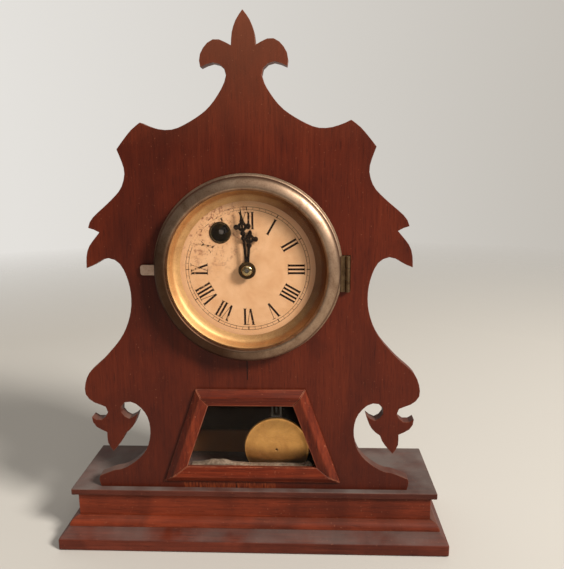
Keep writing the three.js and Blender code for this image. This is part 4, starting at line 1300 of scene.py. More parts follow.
class Finishes:
    """The clock's finishes, by the pieces that wear them."""

    BOARD = CrackedWood(
        "fret_board_wood",
        cracks=(
            Crack(x=-2 * MM, low=131 * MM, high=148 * MM, half=0.4 * MM),
            Crack(x=-12 * MM, low=41 * MM, high=50.5 * MM, half=0.7 * MM),
        ),
    )
    PLINTH = Wood(
        "plinth_wood",
        grain=Grain.ACROSS,
        dark=srgb(82, 32, 18),
        middle=srgb(112, 45, 25),
        light=srgb(148, 62, 34),
        dust=0.14,
    )
    PLINTH_END = Wood("plinth_end_wood", grain=Grain.DEEP, dust=0.4)
    BASE = Wood(
        "base_wood",
        grain=Grain.ACROSS,
        dark=srgb(56, 22, 15),
        middle=srgb(94, 40, 26),
        light=srgb(124, 56, 38),
        # Dust, and partly a painted sheen on the slope.
        dust_and_sheen_colour=srgb(124, 112, 106),
        dust=0.5,
        roughness=0.5,
        wear=0.7,
    )
    LEDGE = Wood(
        "ledge_wood",
        grain=Grain.ACROSS,
        dark=srgb(44, 20, 15),
        middle=srgb(78, 36, 26),
        light=srgb(108, 54, 40),
        # Dust, and partly a painted sheen on the ledge's top.
        dust_and_sheen_colour=srgb(118, 108, 102),
        dust=0.95,
        roughness=0.5,
        wear=0.9,
    )
    FRAME_ACROSS = Wood(
        "window_rail_wood",
        grain=Grain.ACROSS,
        dark=srgb(54, 17, 9),
        middle=srgb(92, 31, 14),
        light=srgb(138, 57, 30),
        worn=srgb(184, 114, 84),
        dust=0.2,
        varnish=0.08,
        roughness=0.38,
        wear=1.6,
    )
    FRAME_UPRIGHT = replace(FRAME_ACROSS, name="window_stile_wood", grain=Grain.UPRIGHT)
    SIDE = BoxWood("case_side_wood", dust=0.4, wear=0.35)
    LID = BoxWood("case_lid_wood", grain=Grain.ACROSS, dust=0.95, wear=0.35)
    BACK = BoxWood(
        "back_pine",
        deep=srgb(78, 50, 28),
        dark=srgb(92, 62, 36),
        middle=srgb(132, 94, 58),
        light=srgb(160, 120, 78),
        worn=srgb(182, 146, 102),
        # Painted light: the back's foot inside the box is paler, as if lit through the window.
        painted_lit_foot_colour=srgb(158, 104, 66),
        dust=0.5,
        varnish=0.0,
        roughness=0.8,
    )
    BEZEL = Metal(
        "bezel_worn_plate",
        clean=srgb(172, 144, 120),
        tarnished=srgb(104, 76, 56),
        cover=0.62,
        polish=0.38,
        dull=0.54,
        wear=0.7,
        bright=srgb(226, 198, 156),
        # Painted shade: two soft spots darken the bezel's lower left and its left side.
        colour_spots=(
            ColourSpot(
                at(-42, -34, 166), full=26 * MM, end=70 * MM,
                colour=srgb(62, 38, 25), strength=0.92,
            ),
            ColourSpot(
                at(-66, -34, 212), full=12 * MM, end=50 * MM,
                colour=srgb(70, 46, 30), strength=0.75,
            ),
        ),
    )
    SIGHT = Metal(
        "sight_ring_gilt",
        clean=srgb(222, 174, 116),
        tarnished=srgb(160, 110, 68),
        cover=0.45,
        polish=0.54,
        dull=0.62,
        bump=0.06,
        colour_spots=(
            # Painted shadow of the bezel on the ring's upper right.
            ColourSpot(
                at(42, -28, 230), full=30 * MM, end=82 * MM,
                colour=srgb(96, 56, 36), strength=0.92,
            ),
            # Painted highlight on the ring's lower left.
            ColourSpot(
                at(-44, -28, 180), full=12 * MM, end=50 * MM,
                colour=srgb(240, 204, 144), strength=0.18,
            ),
        ),
    )
    BRASS = Metal("old_brass", clean=srgb(180, 148, 88), wear=0.5)
    MOVEMENT_BRASS = Metal(
        "movement_brass", clean=srgb(186, 152, 92), tarnished=srgb(126, 94, 52), cover=0.5
    )
    TAB = Metal(
        "tab_worn_plate",
        clean=srgb(204, 178, 160),
        tarnished=srgb(150, 116, 92),
        polish=0.36,
        dull=0.5,
        wear=0.4,
    )
    HINGE = Metal(
        "hinge_dark_brass",
        clean=srgb(128, 104, 76),
        tarnished=srgb(62, 44, 30),
        cover=0.8,
        polish=0.4,
        dull=0.6,
        wear=0.7,
        bright=srgb(186, 160, 120),
    )
    LIP = Metal(
        "winding_lip_dark_brass",
        clean=srgb(110, 86, 56),
        tarnished=srgb(40, 28, 20),
        cover=0.8,
        polish=0.35,
        dull=0.6,
        wear=0.8,
        bright=srgb(196, 164, 110),
    )
    ARBOR = Metal(
        "winding_square_steel",
        clean=srgb(156, 148, 142),
        tarnished=srgb(84, 72, 64),
        cover=0.4,
        polish=0.4,
        dull=0.6,
    )
    WIRE = Metal(
        "stirrup_dull_steel",
        clean=srgb(88, 82, 76),
        tarnished=srgb(50, 40, 34),
        cover=0.6,
        polish=0.45,
        dull=0.65,
    )
    STEEL = Metal(
        "old_steel",
        clean=srgb(128, 122, 114),
        tarnished=srgb(76, 62, 50),
        cover=0.5,
        polish=0.34,
        dull=0.55,
        bright=srgb(190, 190, 188),
    )
    BLUED = Metal(
        "blackened_steel",
        clean=srgb(34, 28, 25),
        tarnished=srgb(54, 36, 25),
        polish=0.42,
        dull=0.62,
        wear=0.35,
        bright=srgb(112, 88, 64),
    )
    NUT = Metal(
        "hand_nut_brass",
        clean=srgb(190, 164, 116),
        tarnished=srgb(92, 72, 46),
        polish=0.16,
        dull=0.36,
        wear=0.4,
    )
    WASHER = Metal(
        "hand_washer_dark",
        clean=srgb(86, 66, 42),
        tarnished=srgb(44, 32, 22),
        polish=0.3,
        dull=0.55,
        wear=0.5,
        bright=srgb(150, 124, 84),
    )
    BOB = Metal(
        "bob_lacquered_brass",
        clean=srgb(240, 182, 106),
        tarnished=srgb(190, 126, 66),
        cover=0.45,
        colour_spots=(
            ColourSpot(
                at(18.5, -14, 69.8), full=0.6 * MM, end=1.4 * MM,
                colour=srgb(64, 38, 20), strength=0.9,
            ),
            # Painted shade over the lower part of the bob.
            ColourSpot(
                at(18.5, -11, 28), full=22 * MM, end=40 * MM,
                colour=srgb(96, 56, 26), strength=0.8,
            ),
        ),
        polish=0.38,
        dull=0.52,
        wear=0.4,
        bright=srgb(226, 190, 130),
    )
    PAPER = Paper("dial_paper")
    INK = Ink("dial_ink")
    PANE = Glass("window_pane")
    BEZEL_PANE = Glass("bezel_pane")
    PUTTY = Putty("window_putty_grey")


class Job:
    """Puts finished pieces on their bodies and keeps the tally."""

    count = 0

    @classmethod
    def seat(
        cls,
        piece: bpy.types.Object,
        body: Body,
        slot: str,
        finish: Finish,
        nodes: Sequence[str] = (),
    ) -> None:
        """Dress a piece, put it on its body and let it stand for its nodes.

        Args:
            piece: the finished piece.
            body: the body that carries it.
            slot: the record's material slot; it is not used.
            finish: the finish it wears.
            nodes: the nodes that it replaces.
        """
        piece.data.materials.clear()
        piece.data.materials.append(finish.material())
        if nodes:
            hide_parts(*nodes)
        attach(piece, body.value)
        cls.count += 1
        LOG.info("%s rides on %s", piece.name, body.value)

    @staticmethod
    def dress(node: str, finish: Finish) -> None:
        """Give a node that keeps its own shape a better material.

        Args:
            node: the node.
            finish: the finish it wears.
        """
        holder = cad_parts[node]
        holder.data.materials.clear()
        holder.data.materials.append(finish.material())
        LOG.info("%s keeps its own shape", node)


# ------------------------------------------------------------------ woodwork


@dataclass
class Woodwork:
    """The plinth, the scroll-cut board, the window frame and the box behind."""

    edge: float = 0.45 * MM
    ledge_edge: float = 0.8 * MM
    base_edge: float = 1.1 * MM
    pane_edge: float = 0.2 * MM

    def build(self) -> None:
        """Make every wooden piece and the window's pane."""
        self._plinth()
        self._ease("front_board", Finishes.BOARD)
        self._window()
        self._box()

    def _ease(
        self,
        node: str,
        finish: Finish,
        slot: str = "mahogany",
        body: Body = Body.CASE,
        bevel: float | None = None,
    ) -> None:
        """Ease a node's edges and dress it as one wooden piece.

        Args:
            node: the node.
            finish: the wood it is made of.
            slot: the record's material slot.
            body: the body that carries it.
            bevel: width of its eased edges in metres, where it isn't the usual one.
        """
        piece = Bench.from_node(node, node + "_wood", self.edge if bevel is None else bevel)
        Job.seat(piece, body, slot, finish, (node,))

    def _plinth(self) -> None:
        """Boards and mouldings of the stepped plinth."""
        self._ease("bottom_board", Finishes.BASE, "dark_mahogany", bevel=self.base_edge)
        self._ease("top_board", Finishes.LEDGE, "dark_mahogany", bevel=self.ledge_edge)
        for node in ("plinth_front", "plinth_back"):
            self._ease(node, Finishes.PLINTH)
        for node in ("plinth_left", "plinth_right"):
            self._ease(node, Finishes.PLINTH_END)
        self._ease("base_moulding_front", Finishes.PLINTH)
        for node in ("base_moulding_left", "base_moulding_right"):
            self._ease(node, Finishes.PLINTH_END)

    def _window(self) -> None:
        """The mitred frame and the pane."""
        for side in ("top", "bottom"):
            self._ease("window_moulding_" + side, Finishes.FRAME_ACROSS, "red_mahogany")
        for side in ("left", "right"):
            self._ease("window_moulding_" + side, Finishes.FRAME_UPRIGHT, "red_mahogany")
        pane = Bench.from_node("window_glass", "window_pane", self.pane_edge)
        Job.seat(pane, Body.CASE, "glass", Finishes.PANE, ("window_glass",))

    def _box(self) -> None:
        """Sides, lid and back of the box, and its door."""
        for side in ("left", "right"):
            self._ease("case_side_" + side, Finishes.SIDE)
        self._ease("case_top", Finishes.LID)
        self._ease("back_board", Finishes.BACK, "pine")
        self._ease("back_door", Finishes.BACK, "pine", Body.REAR_DOOR)


# ------------------------------------------------------------------ window putty


@dataclass(frozen=True)
class Heap:
    """A soft heap of putty: its x and its spread in metres, its height in millimetres."""

    x: float
    spread: float
    height: float

    def rise(self, x: float) -> float:
        """Its height at x, in millimetres."""
        return self.height * math.exp(-(((x - self.x) / self.spread) ** 2))


@dataclass(frozen=True)
class Ripple:
    """A fine wave along the putty: its height in millimetres, its pace and where it starts."""

    height: float
    pace: float
    start: float

    def rise(self, x: float) -> float:
        """Its height at x, in millimetres."""
        return self.height * math.sin(x * self.pace + self.start)


@dataclass
class PuttyBead:
    """Old putty behind the pane's lower edge, heaped at the left."""

    sill: float = 59.9 * MM
    left: float = -47 * MM
    right: float = 46 * MM
    front: float = BOARD_FRONT + 2.2 * MM
    back: float = BOARD_BACK - 0.4 * MM
    mound: Heap = Heap(x=-27 * MM, spread=15 * MM, height=4.4)
    knob: Heap = Heap(x=44 * MM, spread=3.2 * MM, height=3.6)
    least: float = 0.12
    ripples: tuple[Ripple, ...] = (
        Ripple(height=0.35, pace=520, start=0),
        Ripple(height=0.2, pace=1310, start=1),
    )
    cuts: int = 30
    rim: float = 0.35
    bulge: Span = (0.1, 0.9)
    smooth_angle: float = 70

    def _height(self, x: float) -> float:
        """Height of the putty over the sill.

        Args:
            x: the place along the sill, in metres.

        Returns:
            The height in metres.
        """
        heaped = self.mound.rise(x) + self.knob.rise(x)
        rippled = sum(ripple.rise(x) for ripple in self.ripples) * min(1, heaped)
        return max(self.least, heaped + rippled) * MM

    def build(self) -> None:
        """Make the bead from a box that is cut along its length and heaped up."""
        Bench.clear()
        bpy.ops.mesh.primitive_cube_add(size=1)
        bead = Bench.named("window_putty")
        bead.scale = (self.right - self.left, self.back - self.front, MM)
        middle = ((self.left + self.right) / 2, (self.front + self.back) / 2)
        bead.location = (*middle, self.sill + MM / 2)
        Bench.settle(bead)
        Bench.edit(bead)
        bpy.ops.mesh.subdivide(number_cuts=self.cuts)
        Bench.close()
        for spot in bead.data.vertices:
            part = (spot.co.z - self.sill) / MM
            across = (spot.co.y - self.front) / (self.back - self.front)
            low, high = self.bulge
            bulge = math.sin(math.pi * min(1, max(0, low + (high - low) * across)))
            crown = self.rim + (1 - self.rim) * bulge
            spot.co.z = self.sill + part * self._height(spot.co.x) * crown
        Bench.smooth(bead, self.smooth_angle)
        Job.seat(bead, Body.CASE, "dial", Finishes.PUTTY)


# ------------------------------------------------------------------ dial


@dataclass(frozen=True)
class Stroke:
    """A straight pen stroke on the dial, between two points (across, outwards) in millimetres."""

    start: Point
    end: Point
    width: float
    thin: bool = False


@dataclass
class DialFace:
    """The paper dial, its hour figures and its minute track; plain sizes are in millimetres."""

    inner: float = 28.8
    outer: float = 40.6
    thick: float = 1.5
    hair: float = 0.36
    serif: float = 1.25
    slant: float = 2.1
    hair_foot: float = 0.3
    narrow: float = 2.75
    wide: float = 5.2
    ring_inner: float = 42.4
    ring_outer: float = 44.4
    ring_width: float = 0.28
    ring_height: float = 0.015
    ring_steps: int = 120
    minute_tick: float = 0.2
    hour_tick: float = 0.6
    hour_tick_reach: float = 0.5
    hole_radius: float = 7.4
    paper_front: float = BOARD_FRONT - 0.82 * MM
    ring_proud: float = 0.01 * MM
    stroke_proud: float = 0.02 * MM
    hair_proud: float = 0.03 * MM
    figures: tuple[str, ...] = (
        "XII", "I", "II", "III", "IIII", "V", "VI", "VII", "VIII", "IX", "X", "XI",
    )

    def build(self) -> None:
        """Make the dial and all that is printed on it."""
        plate = Bench.from_node("dial_plate", "dial_paper_plate", 0.0)
        Job.seat(plate, Body.CASE, "dial", Finishes.PAPER, ("dial_plate",))
        strokes = self._figures()
        thick = [outline for thin, outline in strokes if not thin]
        thin = [outline for thin, outline in strokes if thin] + self._ticks()
        pieces = [
            self._print("figure_strokes", thick, self.stroke_proud),
            self._print("figure_hairlines", thin, self.hair_proud),
            self._ring("track_inner", self.ring_inner),
            self._ring("track_outer", self.ring_outer),
        ]
        Job.seat(Bench.join("dial_figures", pieces), Body.CASE, "black_steel", Finishes.INK)

    def _width(self, letter: str) -> float:
        """How much of the line a letter takes up."""
        return self.narrow if letter == "I" else self.wide

    def _letter(self, letter: str, middle: float) -> list[Stroke]:
        """The strokes of one letter with its serifs.

        Args:
            letter: I, V or X.
            middle: where its middle lies on the line.

        Returns:
            The strokes, before they are turned round the dial.
        """
        low, high = self.inner, self.outer
        left, right = middle - self.slant, middle + self.slant
        if letter == "I":
            shapes = [Stroke((middle, low), (middle, high), self.thick)]
            feet = [(middle, low), (middle, high)]
        elif letter == "V":
            shapes = [
                Stroke((left, high), (middle, low), self.thick),
                Stroke((right, high), (middle + self.hair_foot, low), self.hair, True),
            ]
            feet = [(left, high), (right, high)]
        else:
            shapes = [
                Stroke((left, high), (right, low), self.thick),
                Stroke((right, high), (left, low), self.hair, True),
            ]
            feet = [(side, end) for side in (left, right) for end in (low, high)]
        for across, out in feet:
            ends = ((across - self.serif, out), (across + self.serif, out))
            shapes.append(Stroke(*ends, self.hair, True))
        return shapes

    def _figures(self) -> list[tuple[bool, list[Point]]]:
        """Outlines of the figures' strokes, placed round the dial.

        Returns:
            Pairs of whether a stroke is thin, and its outline.
        """
        placed = []
        for hour, figure in enumerate(self.figures):
            turn = hour * FULL_TURN / 12
            across = -sum(self._width(letter) for letter in figure) / 2
            for letter in figure:
                width = self._width(letter)
                for stroke in self._letter(letter, across + width / 2):
                    for part in self._beside_hole(stroke, turn):
                        placed.append((part.thin, self._outline(part, turn)))
                across += width
        return placed

    def _ticks(self) -> list[list[Point]]:
        """Outlines of the minute track's ticks.

        Returns:
            The outlines, in millimetres.
        """
        outlines = []
        for minute in range(60):
            on_hour = minute % 5 == 0
            start = self.ring_inner - (self.hour_tick_reach if on_hour else 0)
            width = self.hour_tick if on_hour else self.minute_tick
            tick = Stroke((0, start), (0, self.ring_outer), width)
            outlines.append(self._outline(tick, minute * FULL_TURN / 60))
        return outlines

    def _beside_hole(self, stroke: Stroke, turn: float) -> list[Stroke]:
        """The parts of a stroke that lie outside the winding hole.

        Args:
            stroke: the stroke before it is turned.
            turn: how far it will be turned clockwise.

        Returns:
            None, one or two strokes.
        """
        cos, sin = math.cos(turn), math.sin(turn)
        x, z = WINDING_HOLE
        hole = Vector((x * cos - z * sin, x * sin + z * cos))
        start, end = Vector(stroke.start), Vector(stroke.end)
        along = end - start
        half = along.dot(start - hole)
        rest = (start - hole).length_squared - self.hole_radius**2
        inside = half**2 - along.length_squared * rest
        if inside <= 0:
            return [stroke]
        first = (-half - math.sqrt(inside)) / along.length_squared
        last = (-half + math.sqrt(inside)) / along.length_squared
        if first >= 1 or last <= 0:
            return [stroke]
        parts = []
        if first > 0:
            parts.append(replace(stroke, end=tuple(start + along * first)))
        if last < 1:
            parts.append(replace(stroke, start=tuple(start + along * last)))
        return parts

    @staticmethod
    def _outline(stroke: Stroke, turn: float) -> list[Point]:
        """A stroke's corners, turned clockwise round the dial's centre.

        Args:
            stroke: the stroke.
            turn: how far it is turned.

        Returns:
            Its four corners in millimetres.
        """
        start, end = Vector(stroke.start), Vector(stroke.end)
        side = (end - start).normalized()
        side = Vector((-side.y, side.x)) * stroke.width / 2
        corners = (start + side, start - side, end - side, end + side)
        cos, sin = math.cos(turn), math.sin(turn)
        return [(spot.x * cos + spot.y * sin, spot.y * cos - spot.x * sin) for spot in corners]

    def _print(self, name: str, outlines: list[list[Point]], proud: float) -> bpy.types.Object:
        """Lay strokes on the paper, each as its own plate so that they may cross.

        Args:
            name: the piece's name.
            outlines: the strokes' corners.
            proud: how far they stand off the paper, in metres.

        Returns:
            The strokes as one piece.
        """
        plates = []
        centre = Vector((0, self.paper_front - proud, DIAL_HEIGHT))
        for index, outline in enumerate(outlines):
            Bench.clear()
            bpy.ops.mesh.primitive_plane_add(size=MM, location=centre)
            plate = Bench.named(f"{name}_{index}")
            for corner, (x, z) in zip((0, 1, 3, 2), outline):
                plate.data.vertices[corner].co = (x * MM, 0, z * MM)
            plates.append(plate)
        joined = Bench.join(name, plates)
        Bench.settle(joined)
        Bench.edit(joined)
        bpy.ops.mesh.normals_make_consistent(inside=False)
        Bench.close()
        return joined

    def _ring(self, name: str, radius: float) -> bpy.types.Object:
        """A hairline ring of the minute track.

        Args:
            name: the piece's name.
            radius: its middle radius.

        Returns:
            The ring.
        """
        inner, outer = radius - self.ring_width / 2, radius + self.ring_width / 2
        front = self.ring_height
        profile = [(inner, 0), (outer, 0), (outer, front), (inner, front), (inner, 0)]
        centre = Vector((0, self.paper_front - self.ring_proud, DIAL_HEIGHT))
        return Bench.turn(name, Bench.before(profile), centre, self.ring_steps)


# ------------------------------------------------------------------ bezel


@dataclass
class Bezel:
    """The hinged brass bezel with its glass, sight ring, tab and hinge.

    Its profiles are points of (radius, distance before the board), in millimetres.
    """

    steps: int = 128
    pane_steps: int = 96
    tab_edge: float = 0.25 * MM
    hinge_edge: float = 0.12 * MM
    hinge_angle: float = 40
    outer_roll: Profile = (
        (67.2, 0.4), (67.5, 0.7), (67.5, 1.3), (67.2, 1.6), (65.9, 1.75), (65.5, 2.1),
        (65.6, 3.2), (65.75, 5.2), (65.65, 7.4), (65.3, 9.1), (64.6, 10.4), (63.5, 11.3),
        (62.2, 12.0), (60.6, 12.6), (59.2, 13.0), (58.2, 13.2), (57.5, 13.1), (57.0, 12.7),
        (56.5, 11.9), (56.1, 10.9), (56.0, 9.9),
    )
    inner_wall: Profile = (
        (58.3, 9.8), (58.3, 7.0), (60.5, 6.6), (62.8, 6.0), (64.0, 4.0), (64.3, 0.4),
        (67.2, 0.4),
    )
    sight_front: Profile = (
        (57.9, 8.2), (56.1, 8.2), (55.6, 7.6), (55.0, 6.6), (54.4, 5.5), (53.8, 4.4),
        (53.3, 3.6), (52.7, 3.0), (51.9, 2.5), (50.9, 2.05), (49.8, 1.65), (48.8, 1.35),
        (48.4, 1.2),
    )
    sight_back: Profile = (
        (48.5, 1.05), (49.8, 1.2), (51.4, 1.7), (52.7, 2.4), (53.6, 3.2), (54.4, 4.6),
        (55.0, 5.9), (55.6, 7.0), (56.3, 7.6), (57.9, 7.6), (57.9, 8.2),
    )
    pane: Profile = (
        (0, 9.75), (57.0, 9.75), (57.7, 9.55), (57.9, 9.2), (57.9, 8.6), (57.4, 8.35),
        (0, 8.35),
    )

    def build(self) -> None:
        """Make the bezel's pieces."""
        roll = self._turned("bezel_rolled_ring", self.outer_roll + self.inner_wall, self.steps)
        Job.seat(roll, Body.BEZEL, "aged_brass", Finishes.BEZEL, ("bezel_ring",))
        sight = self._turned("sight_ring_cone", self.sight_front + self.sight_back, self.steps)
        Job.seat(sight, Body.BEZEL, "gilt", Finishes.SIGHT, ("sight_ring",))
        pane = self._turned("bezel_pane", self.pane, self.pane_steps)
        Job.seat(pane, Body.BEZEL, "glass", Finishes.BEZEL_PANE, ("bezel_glass",))
        tab = Bench.from_node("bezel_tab", "bezel_finger_tab", self.tab_edge)
        Job.seat(tab, Body.BEZEL, "brass", Finishes.TAB, ("bezel_tab",))
        self._hinge()

    @staticmethod
    def _turned(name: str, profile: Profile, steps: int) -> bpy.types.Object:
        """Turn a profile about the dial's centre."""
        return Bench.turn(name, Bench.before(profile), DIAL_CENTRE, steps)

    def _hinge(self) -> None:
        """Both leaves and the pin."""
        for node, body, slot, finish in (
            ("bezel_hinge_leaf", Body.BEZEL, "aged_brass", Finishes.HINGE),
            ("board_hinge_leaf", Body.CASE, "aged_brass", Finishes.HINGE),
            ("bezel_hinge_pin", Body.CASE, "steel", Finishes.STEEL),
        ):
            piece = Bench.from_node(node, node + "_worn", self.hinge_edge, self.hinge_angle)
            Job.seat(piece, body, slot, finish, (node,))


# ------------------------------------------------------------------ hands and winding hole


@dataclass
class Hand:
    """A blackened hand with a pierced cross of balls; plain sizes are in millimetres."""

    name: str
    node: str
    body: Body
    length: float
    cross: float
    lean: float
    depth: float
    boss: float
    bore: float
    thickness: float = 0.75
    edge: float = 0.08 * MM
    arm: float = 4.2
    low_arm: float = 4.7
    lobe: float = 1.9
    lobe_squash: Place = (1, 0.3, 1)
    hoop_outer: float = 3.3
    hoop_inner: float = 1.3
    hoop_share: float = 0.9
    hoop_steps: int = 28
    boss_steps: int = 40
    bore_steps: int = 24

    def build(self) -> None:
        """Make the hand's plates and balls, join them and turn them to the hour."""
        middle = Vector((0, BOARD_FRONT - self.depth * MM, DIAL_HEIGHT))
        stem = (self._stem(), self._bore())
        pieces = [
            Bench.plate(self.name + "_stem", stem, middle, self.thickness * MM, self.edge),
            self._hoop(middle),
        ]
        for across, out in ((-self.arm, 0), (self.arm, 0), (0, -self.low_arm)):
            place = middle + Vector((across, 0, self.cross + out)) * MM
            radius = self.lobe * MM
            pieces.append(Bench.ball(self.name + "_ball", radius, place, self.lobe_squash))
        hand = Bench.join(self.name, pieces)
        turn = Matrix.Rotation(math.radians(self.lean), 4, "Y")
        centre = Matrix.Translation(middle)
        hand.data.transform(centre @ turn @ centre.inverted())
        Bench.smooth(hand)
        Job.seat(hand, self.body, "black_steel", Finishes.BLUED, (self.node,))

    def _stem(self) -> list[Point]:
        """The boss, the waisted stem and the spear.

        Returns:
            Their outline.
        """
        top = self.cross + 2.2
        right = [
            (1.2, self.boss - 0.2),
            (0.9, self.boss + 3),
            (0.95, self.cross - 6.0),
            (0.7, self.cross - 3.6),
            (0.7, self.cross - 1.9),
            (0.75, self.cross - 1.7),
            (0.75, self.cross + 1.7),
            (1.0, top),
            (1.6, top + 1.5),
            (0.9, top + 3.4),
            (0.12, self.length - 0.6),
            (0.0, self.length),
        ]
        left = [(-x, z) for x, z in reversed(right[:-1])]
        start = math.asin(right[0][0] / self.boss)
        around = []
        for step in range(1, self.boss_steps):
            angle = start + (FULL_TURN - 2 * start) * step / self.boss_steps
            around.append((self.boss * math.sin(angle), self.boss * math.cos(angle)))
        return right + left + around[::-1]

    def _bore(self) -> list[Point]:
        """The round hole in the boss.

        Returns:
            Its outline.
        """
        angles = [step * FULL_TURN / self.bore_steps for step in range(self.bore_steps)]
        return [(self.bore * math.cos(angle), self.bore * math.sin(angle)) for angle in angles]

    def _hoop(self, middle: Vector) -> bpy.types.Object:
        """The ring of the cross that joins its balls.

        Args:
            middle: the hand's middle.

        Returns:
            The ring.
        """
        outer, inner = self.hoop_outer, self.hoop_inner
        half = self.thickness * self.hoop_share / 2
        profile = [(outer, -half), (outer, half), (inner, half), (inner, -half), (outer, -half)]
        centre = middle + Vector((0, 0, self.cross * MM))
        return Bench.turn(self.name + "_hoop", profile, centre, self.hoop_steps)


@dataclass
class Centre:
    """The hand nut on its washer, and the winding hole's lip.

    Its profiles are points of (radius, distance before the board), in millimetres.
    """

    steps: int = 64
    washer: Profile = (
        (1.65, 5.12), (6.1, 5.12), (6.2, 5.35), (6.0, 5.72), (5.5, 5.78), (4.9, 5.5),
        (4.2, 5.4), (1.65, 5.4), (1.65, 5.12),
    )
    dome: Profile = (
        (1.65, 5.4), (4.0, 5.4), (4.15, 5.6), (4.1, 5.95), (3.85, 6.5), (3.3, 7.05),
        (2.5, 7.45), (1.9, 7.6), (1.65, 7.6), (1.65, 5.4),
    )
    lip: Profile = (
        (6.4, 0.82), (7.8, 0.82), (7.75, 1.05), (7.4, 1.28), (6.9, 1.32), (6.5, 1.15),
        (6.4, 0.82),
    )

    def build(self) -> None:
        """Make the dished washer, the polished dome over it and the lip."""
        washer = Bench.turn("hand_washer", Bench.before(self.washer), DIAL_CENTRE, self.steps)
        Job.seat(washer, Body.MINUTE, "brass", Finishes.WASHER, ("hand_nut",))
        dome = Bench.turn("hand_nut_dome", Bench.before(self.dome), DIAL_CENTRE, self.steps)
        Job.seat(dome, Body.MINUTE, "brass", Finishes.NUT)
        place = on_dial(*WINDING_HOLE)
        lip = Bench.turn("winding_lip", Bench.before(self.lip), place, self.steps)
        Job.seat(lip, Body.CASE, "brass", Finishes.LIP, ("winding_grommet",))


# ------------------------------------------------------------------ movement and pendulum


@dataclass
class Movement:
    """The brass and steel works behind the dial."""

    brass: tuple[str, ...] = (
        "front_plate", "back_plate", "main_wheel", "centre_wheel", "third_wheel",
        "escape_wheel", "minute_wheel", "hour_wheel", "suspension_cock",
    )
    steel: tuple[str, ...] = (
        "pillar_1", "pillar_2", "pillar_3", "pillar_4", "click",
        "mainspring", "centre_arbor", "minute_stud", "verge_stud", "verge",
    )

    def build(self) -> None:
        """Dress the works, whose own solids already have their shapes."""
        for node in self.brass:
            Job.dress(node, Finishes.MOVEMENT_BRASS)
        for node in self.steel:
            Job.dress(node, Finishes.STEEL)
        Job.dress("winding_arbor", Finishes.ARBOR)


@dataclass
class Pendulum:
    """The rod, the stirrup, the rating nut and the pressed brass bob.

    The bob's place is in millimetres, with y taken from the board's front. Its front is half of
    its profile, as points of (radius, distance behind its middle).
    """

    bob_place: Place = (18.5, 14.0, 69.79)
    bob_steps: int = 96
    wire_edge: float = 0.08 * MM
    nut_edge: float = 0.15 * MM
    edge_angle: float = 50
    front: Profile = (
        (0, -3.05), (0.7, -3.1), (1.1, -3.42), (4, -3.4), (9, -3.15), (14, -2.7),
        (18.5, -2.1), (22, -1.4), (23.6, -1.0), (24.2, -0.95), (24.8, -1.1), (25.3, -0.7),
        (25.5, 0.0),
    )

    def build(self) -> None:
        """Make the pendulum's pieces."""
        for node in ("pendulum_rod", "bob_stirrup"):
            piece = Bench.from_node(node, node + "_steel", self.wire_edge, self.edge_angle)
            Job.seat(piece, Body.PENDULUM, "steel", Finishes.WIRE, (node,))
        nut = Bench.from_node("rating_nut", "rating_nut_knurled", self.nut_edge, self.edge_angle)
        Job.seat(nut, Body.PENDULUM, "brass", Finishes.BRASS, ("rating_nut",))
        self._bob()

    def _bob(self) -> None:
        """Two alike domed halves with a rolled rim and a small dimple in the middle."""
        back = tuple((radius, -along) for radius, along in reversed(self.front[:-1]))
        centre = Vector(self.bob_place) * MM + Vector((0, BOARD_FRONT, 0))
        bob = Bench.turn("pendulum_pressed_bob", self.front + back, centre, self.bob_steps)
        Job.seat(bob, Body.PENDULUM, "gilt", Finishes.BOB, ("pendulum_bob",))


# ------------------------------------------------------------------ back fittings


@dataclass
class BackFittings:
    """The door's knob and hinge, and the screws that hold the movement.

    Plain sizes are in millimetres. The screw's profile is points of (radius, distance behind the
    box), and saw is the size of the block that cuts its slot.
    """

    back: float = 37.1
    knob_edge: float = 0.2 * MM
    knob_angle: float = 40
    hinge_edge: float = 0.12 * MM
    hinge_angle: float = 40
    screws_x: tuple[float, float] = (-45, 37)
    screws_z: tuple[float, float] = (193.2, 269.2)
    screw: Profile = ((0, -0.3), (2.6, -0.3), (2.6, 0.15), (2.08, 0.6), (1.17, 0.85), (0, 0.95))
    screw_steps: int = 28
    saw: Place = (7.8, 1.2, 0.5)
    saw_back: float = 1.05

    def build(self) -> None:
        """Make the fittings."""
        node = "back_door_knob"
        knob = Bench.from_node(node, "door_knob_turned", self.knob_edge, self.knob_angle)
        Job.seat(knob, Body.REAR_DOOR, "brass", Finishes.BRASS, (node,))
        for node, body, slot, finish in (
            ("case_hinge_leaf", Body.CASE, "brass", Finishes.BRASS),
            ("door_hinge_leaf", Body.REAR_DOOR, "brass", Finishes.BRASS),
            ("door_hinge_pin", Body.CASE, "steel", Finishes.STEEL),
        ):
            piece = Bench.from_node(node, node + "_worn", self.hinge_edge, self.hinge_angle)
            Job.seat(piece, body, slot, finish, (node,))
        places = [at(x, self.back, z) for x in self.screws_x for z in self.screws_z]
        screws = Bench.join("movement_screws", [self._screw(Vector(place)) for place in places])
        Job.seat(screws, Body.CASE, "steel", Finishes.STEEL)

    def _screw(self, place: Vector) -> bpy.types.Object:
        """A round screw head that faces the back, with a sawn slot.

        Args:
            place: its place on the back of the box, in metres.

        Returns:
            The head.
        """
        head = Bench.turn("screw_head", self.screw, place, self.screw_steps)
        Bench.clear()
        bpy.ops.mesh.primitive_cube_add(size=1)
        saw = bpy.context.object
        saw.scale = at(*self.saw)
        saw.location = place + Vector((0, self.saw_back * MM, 0))
        Bench.settle(saw)
        Bench.modify(head, "BOOLEAN", object=saw, operation="DIFFERENCE", solver="EXACT")
        bpy.data.objects.remove(saw, do_unlink=True)
        return head


# ------------------------------------------------------------------ stage


@dataclass(frozen=True)
class Lamp:
    """A square area lamp: its place and size in metres, its power in watts and its colour."""

    name: str
    place: Place
    size: float
    power: float
    colour: tuple[float, float, float]


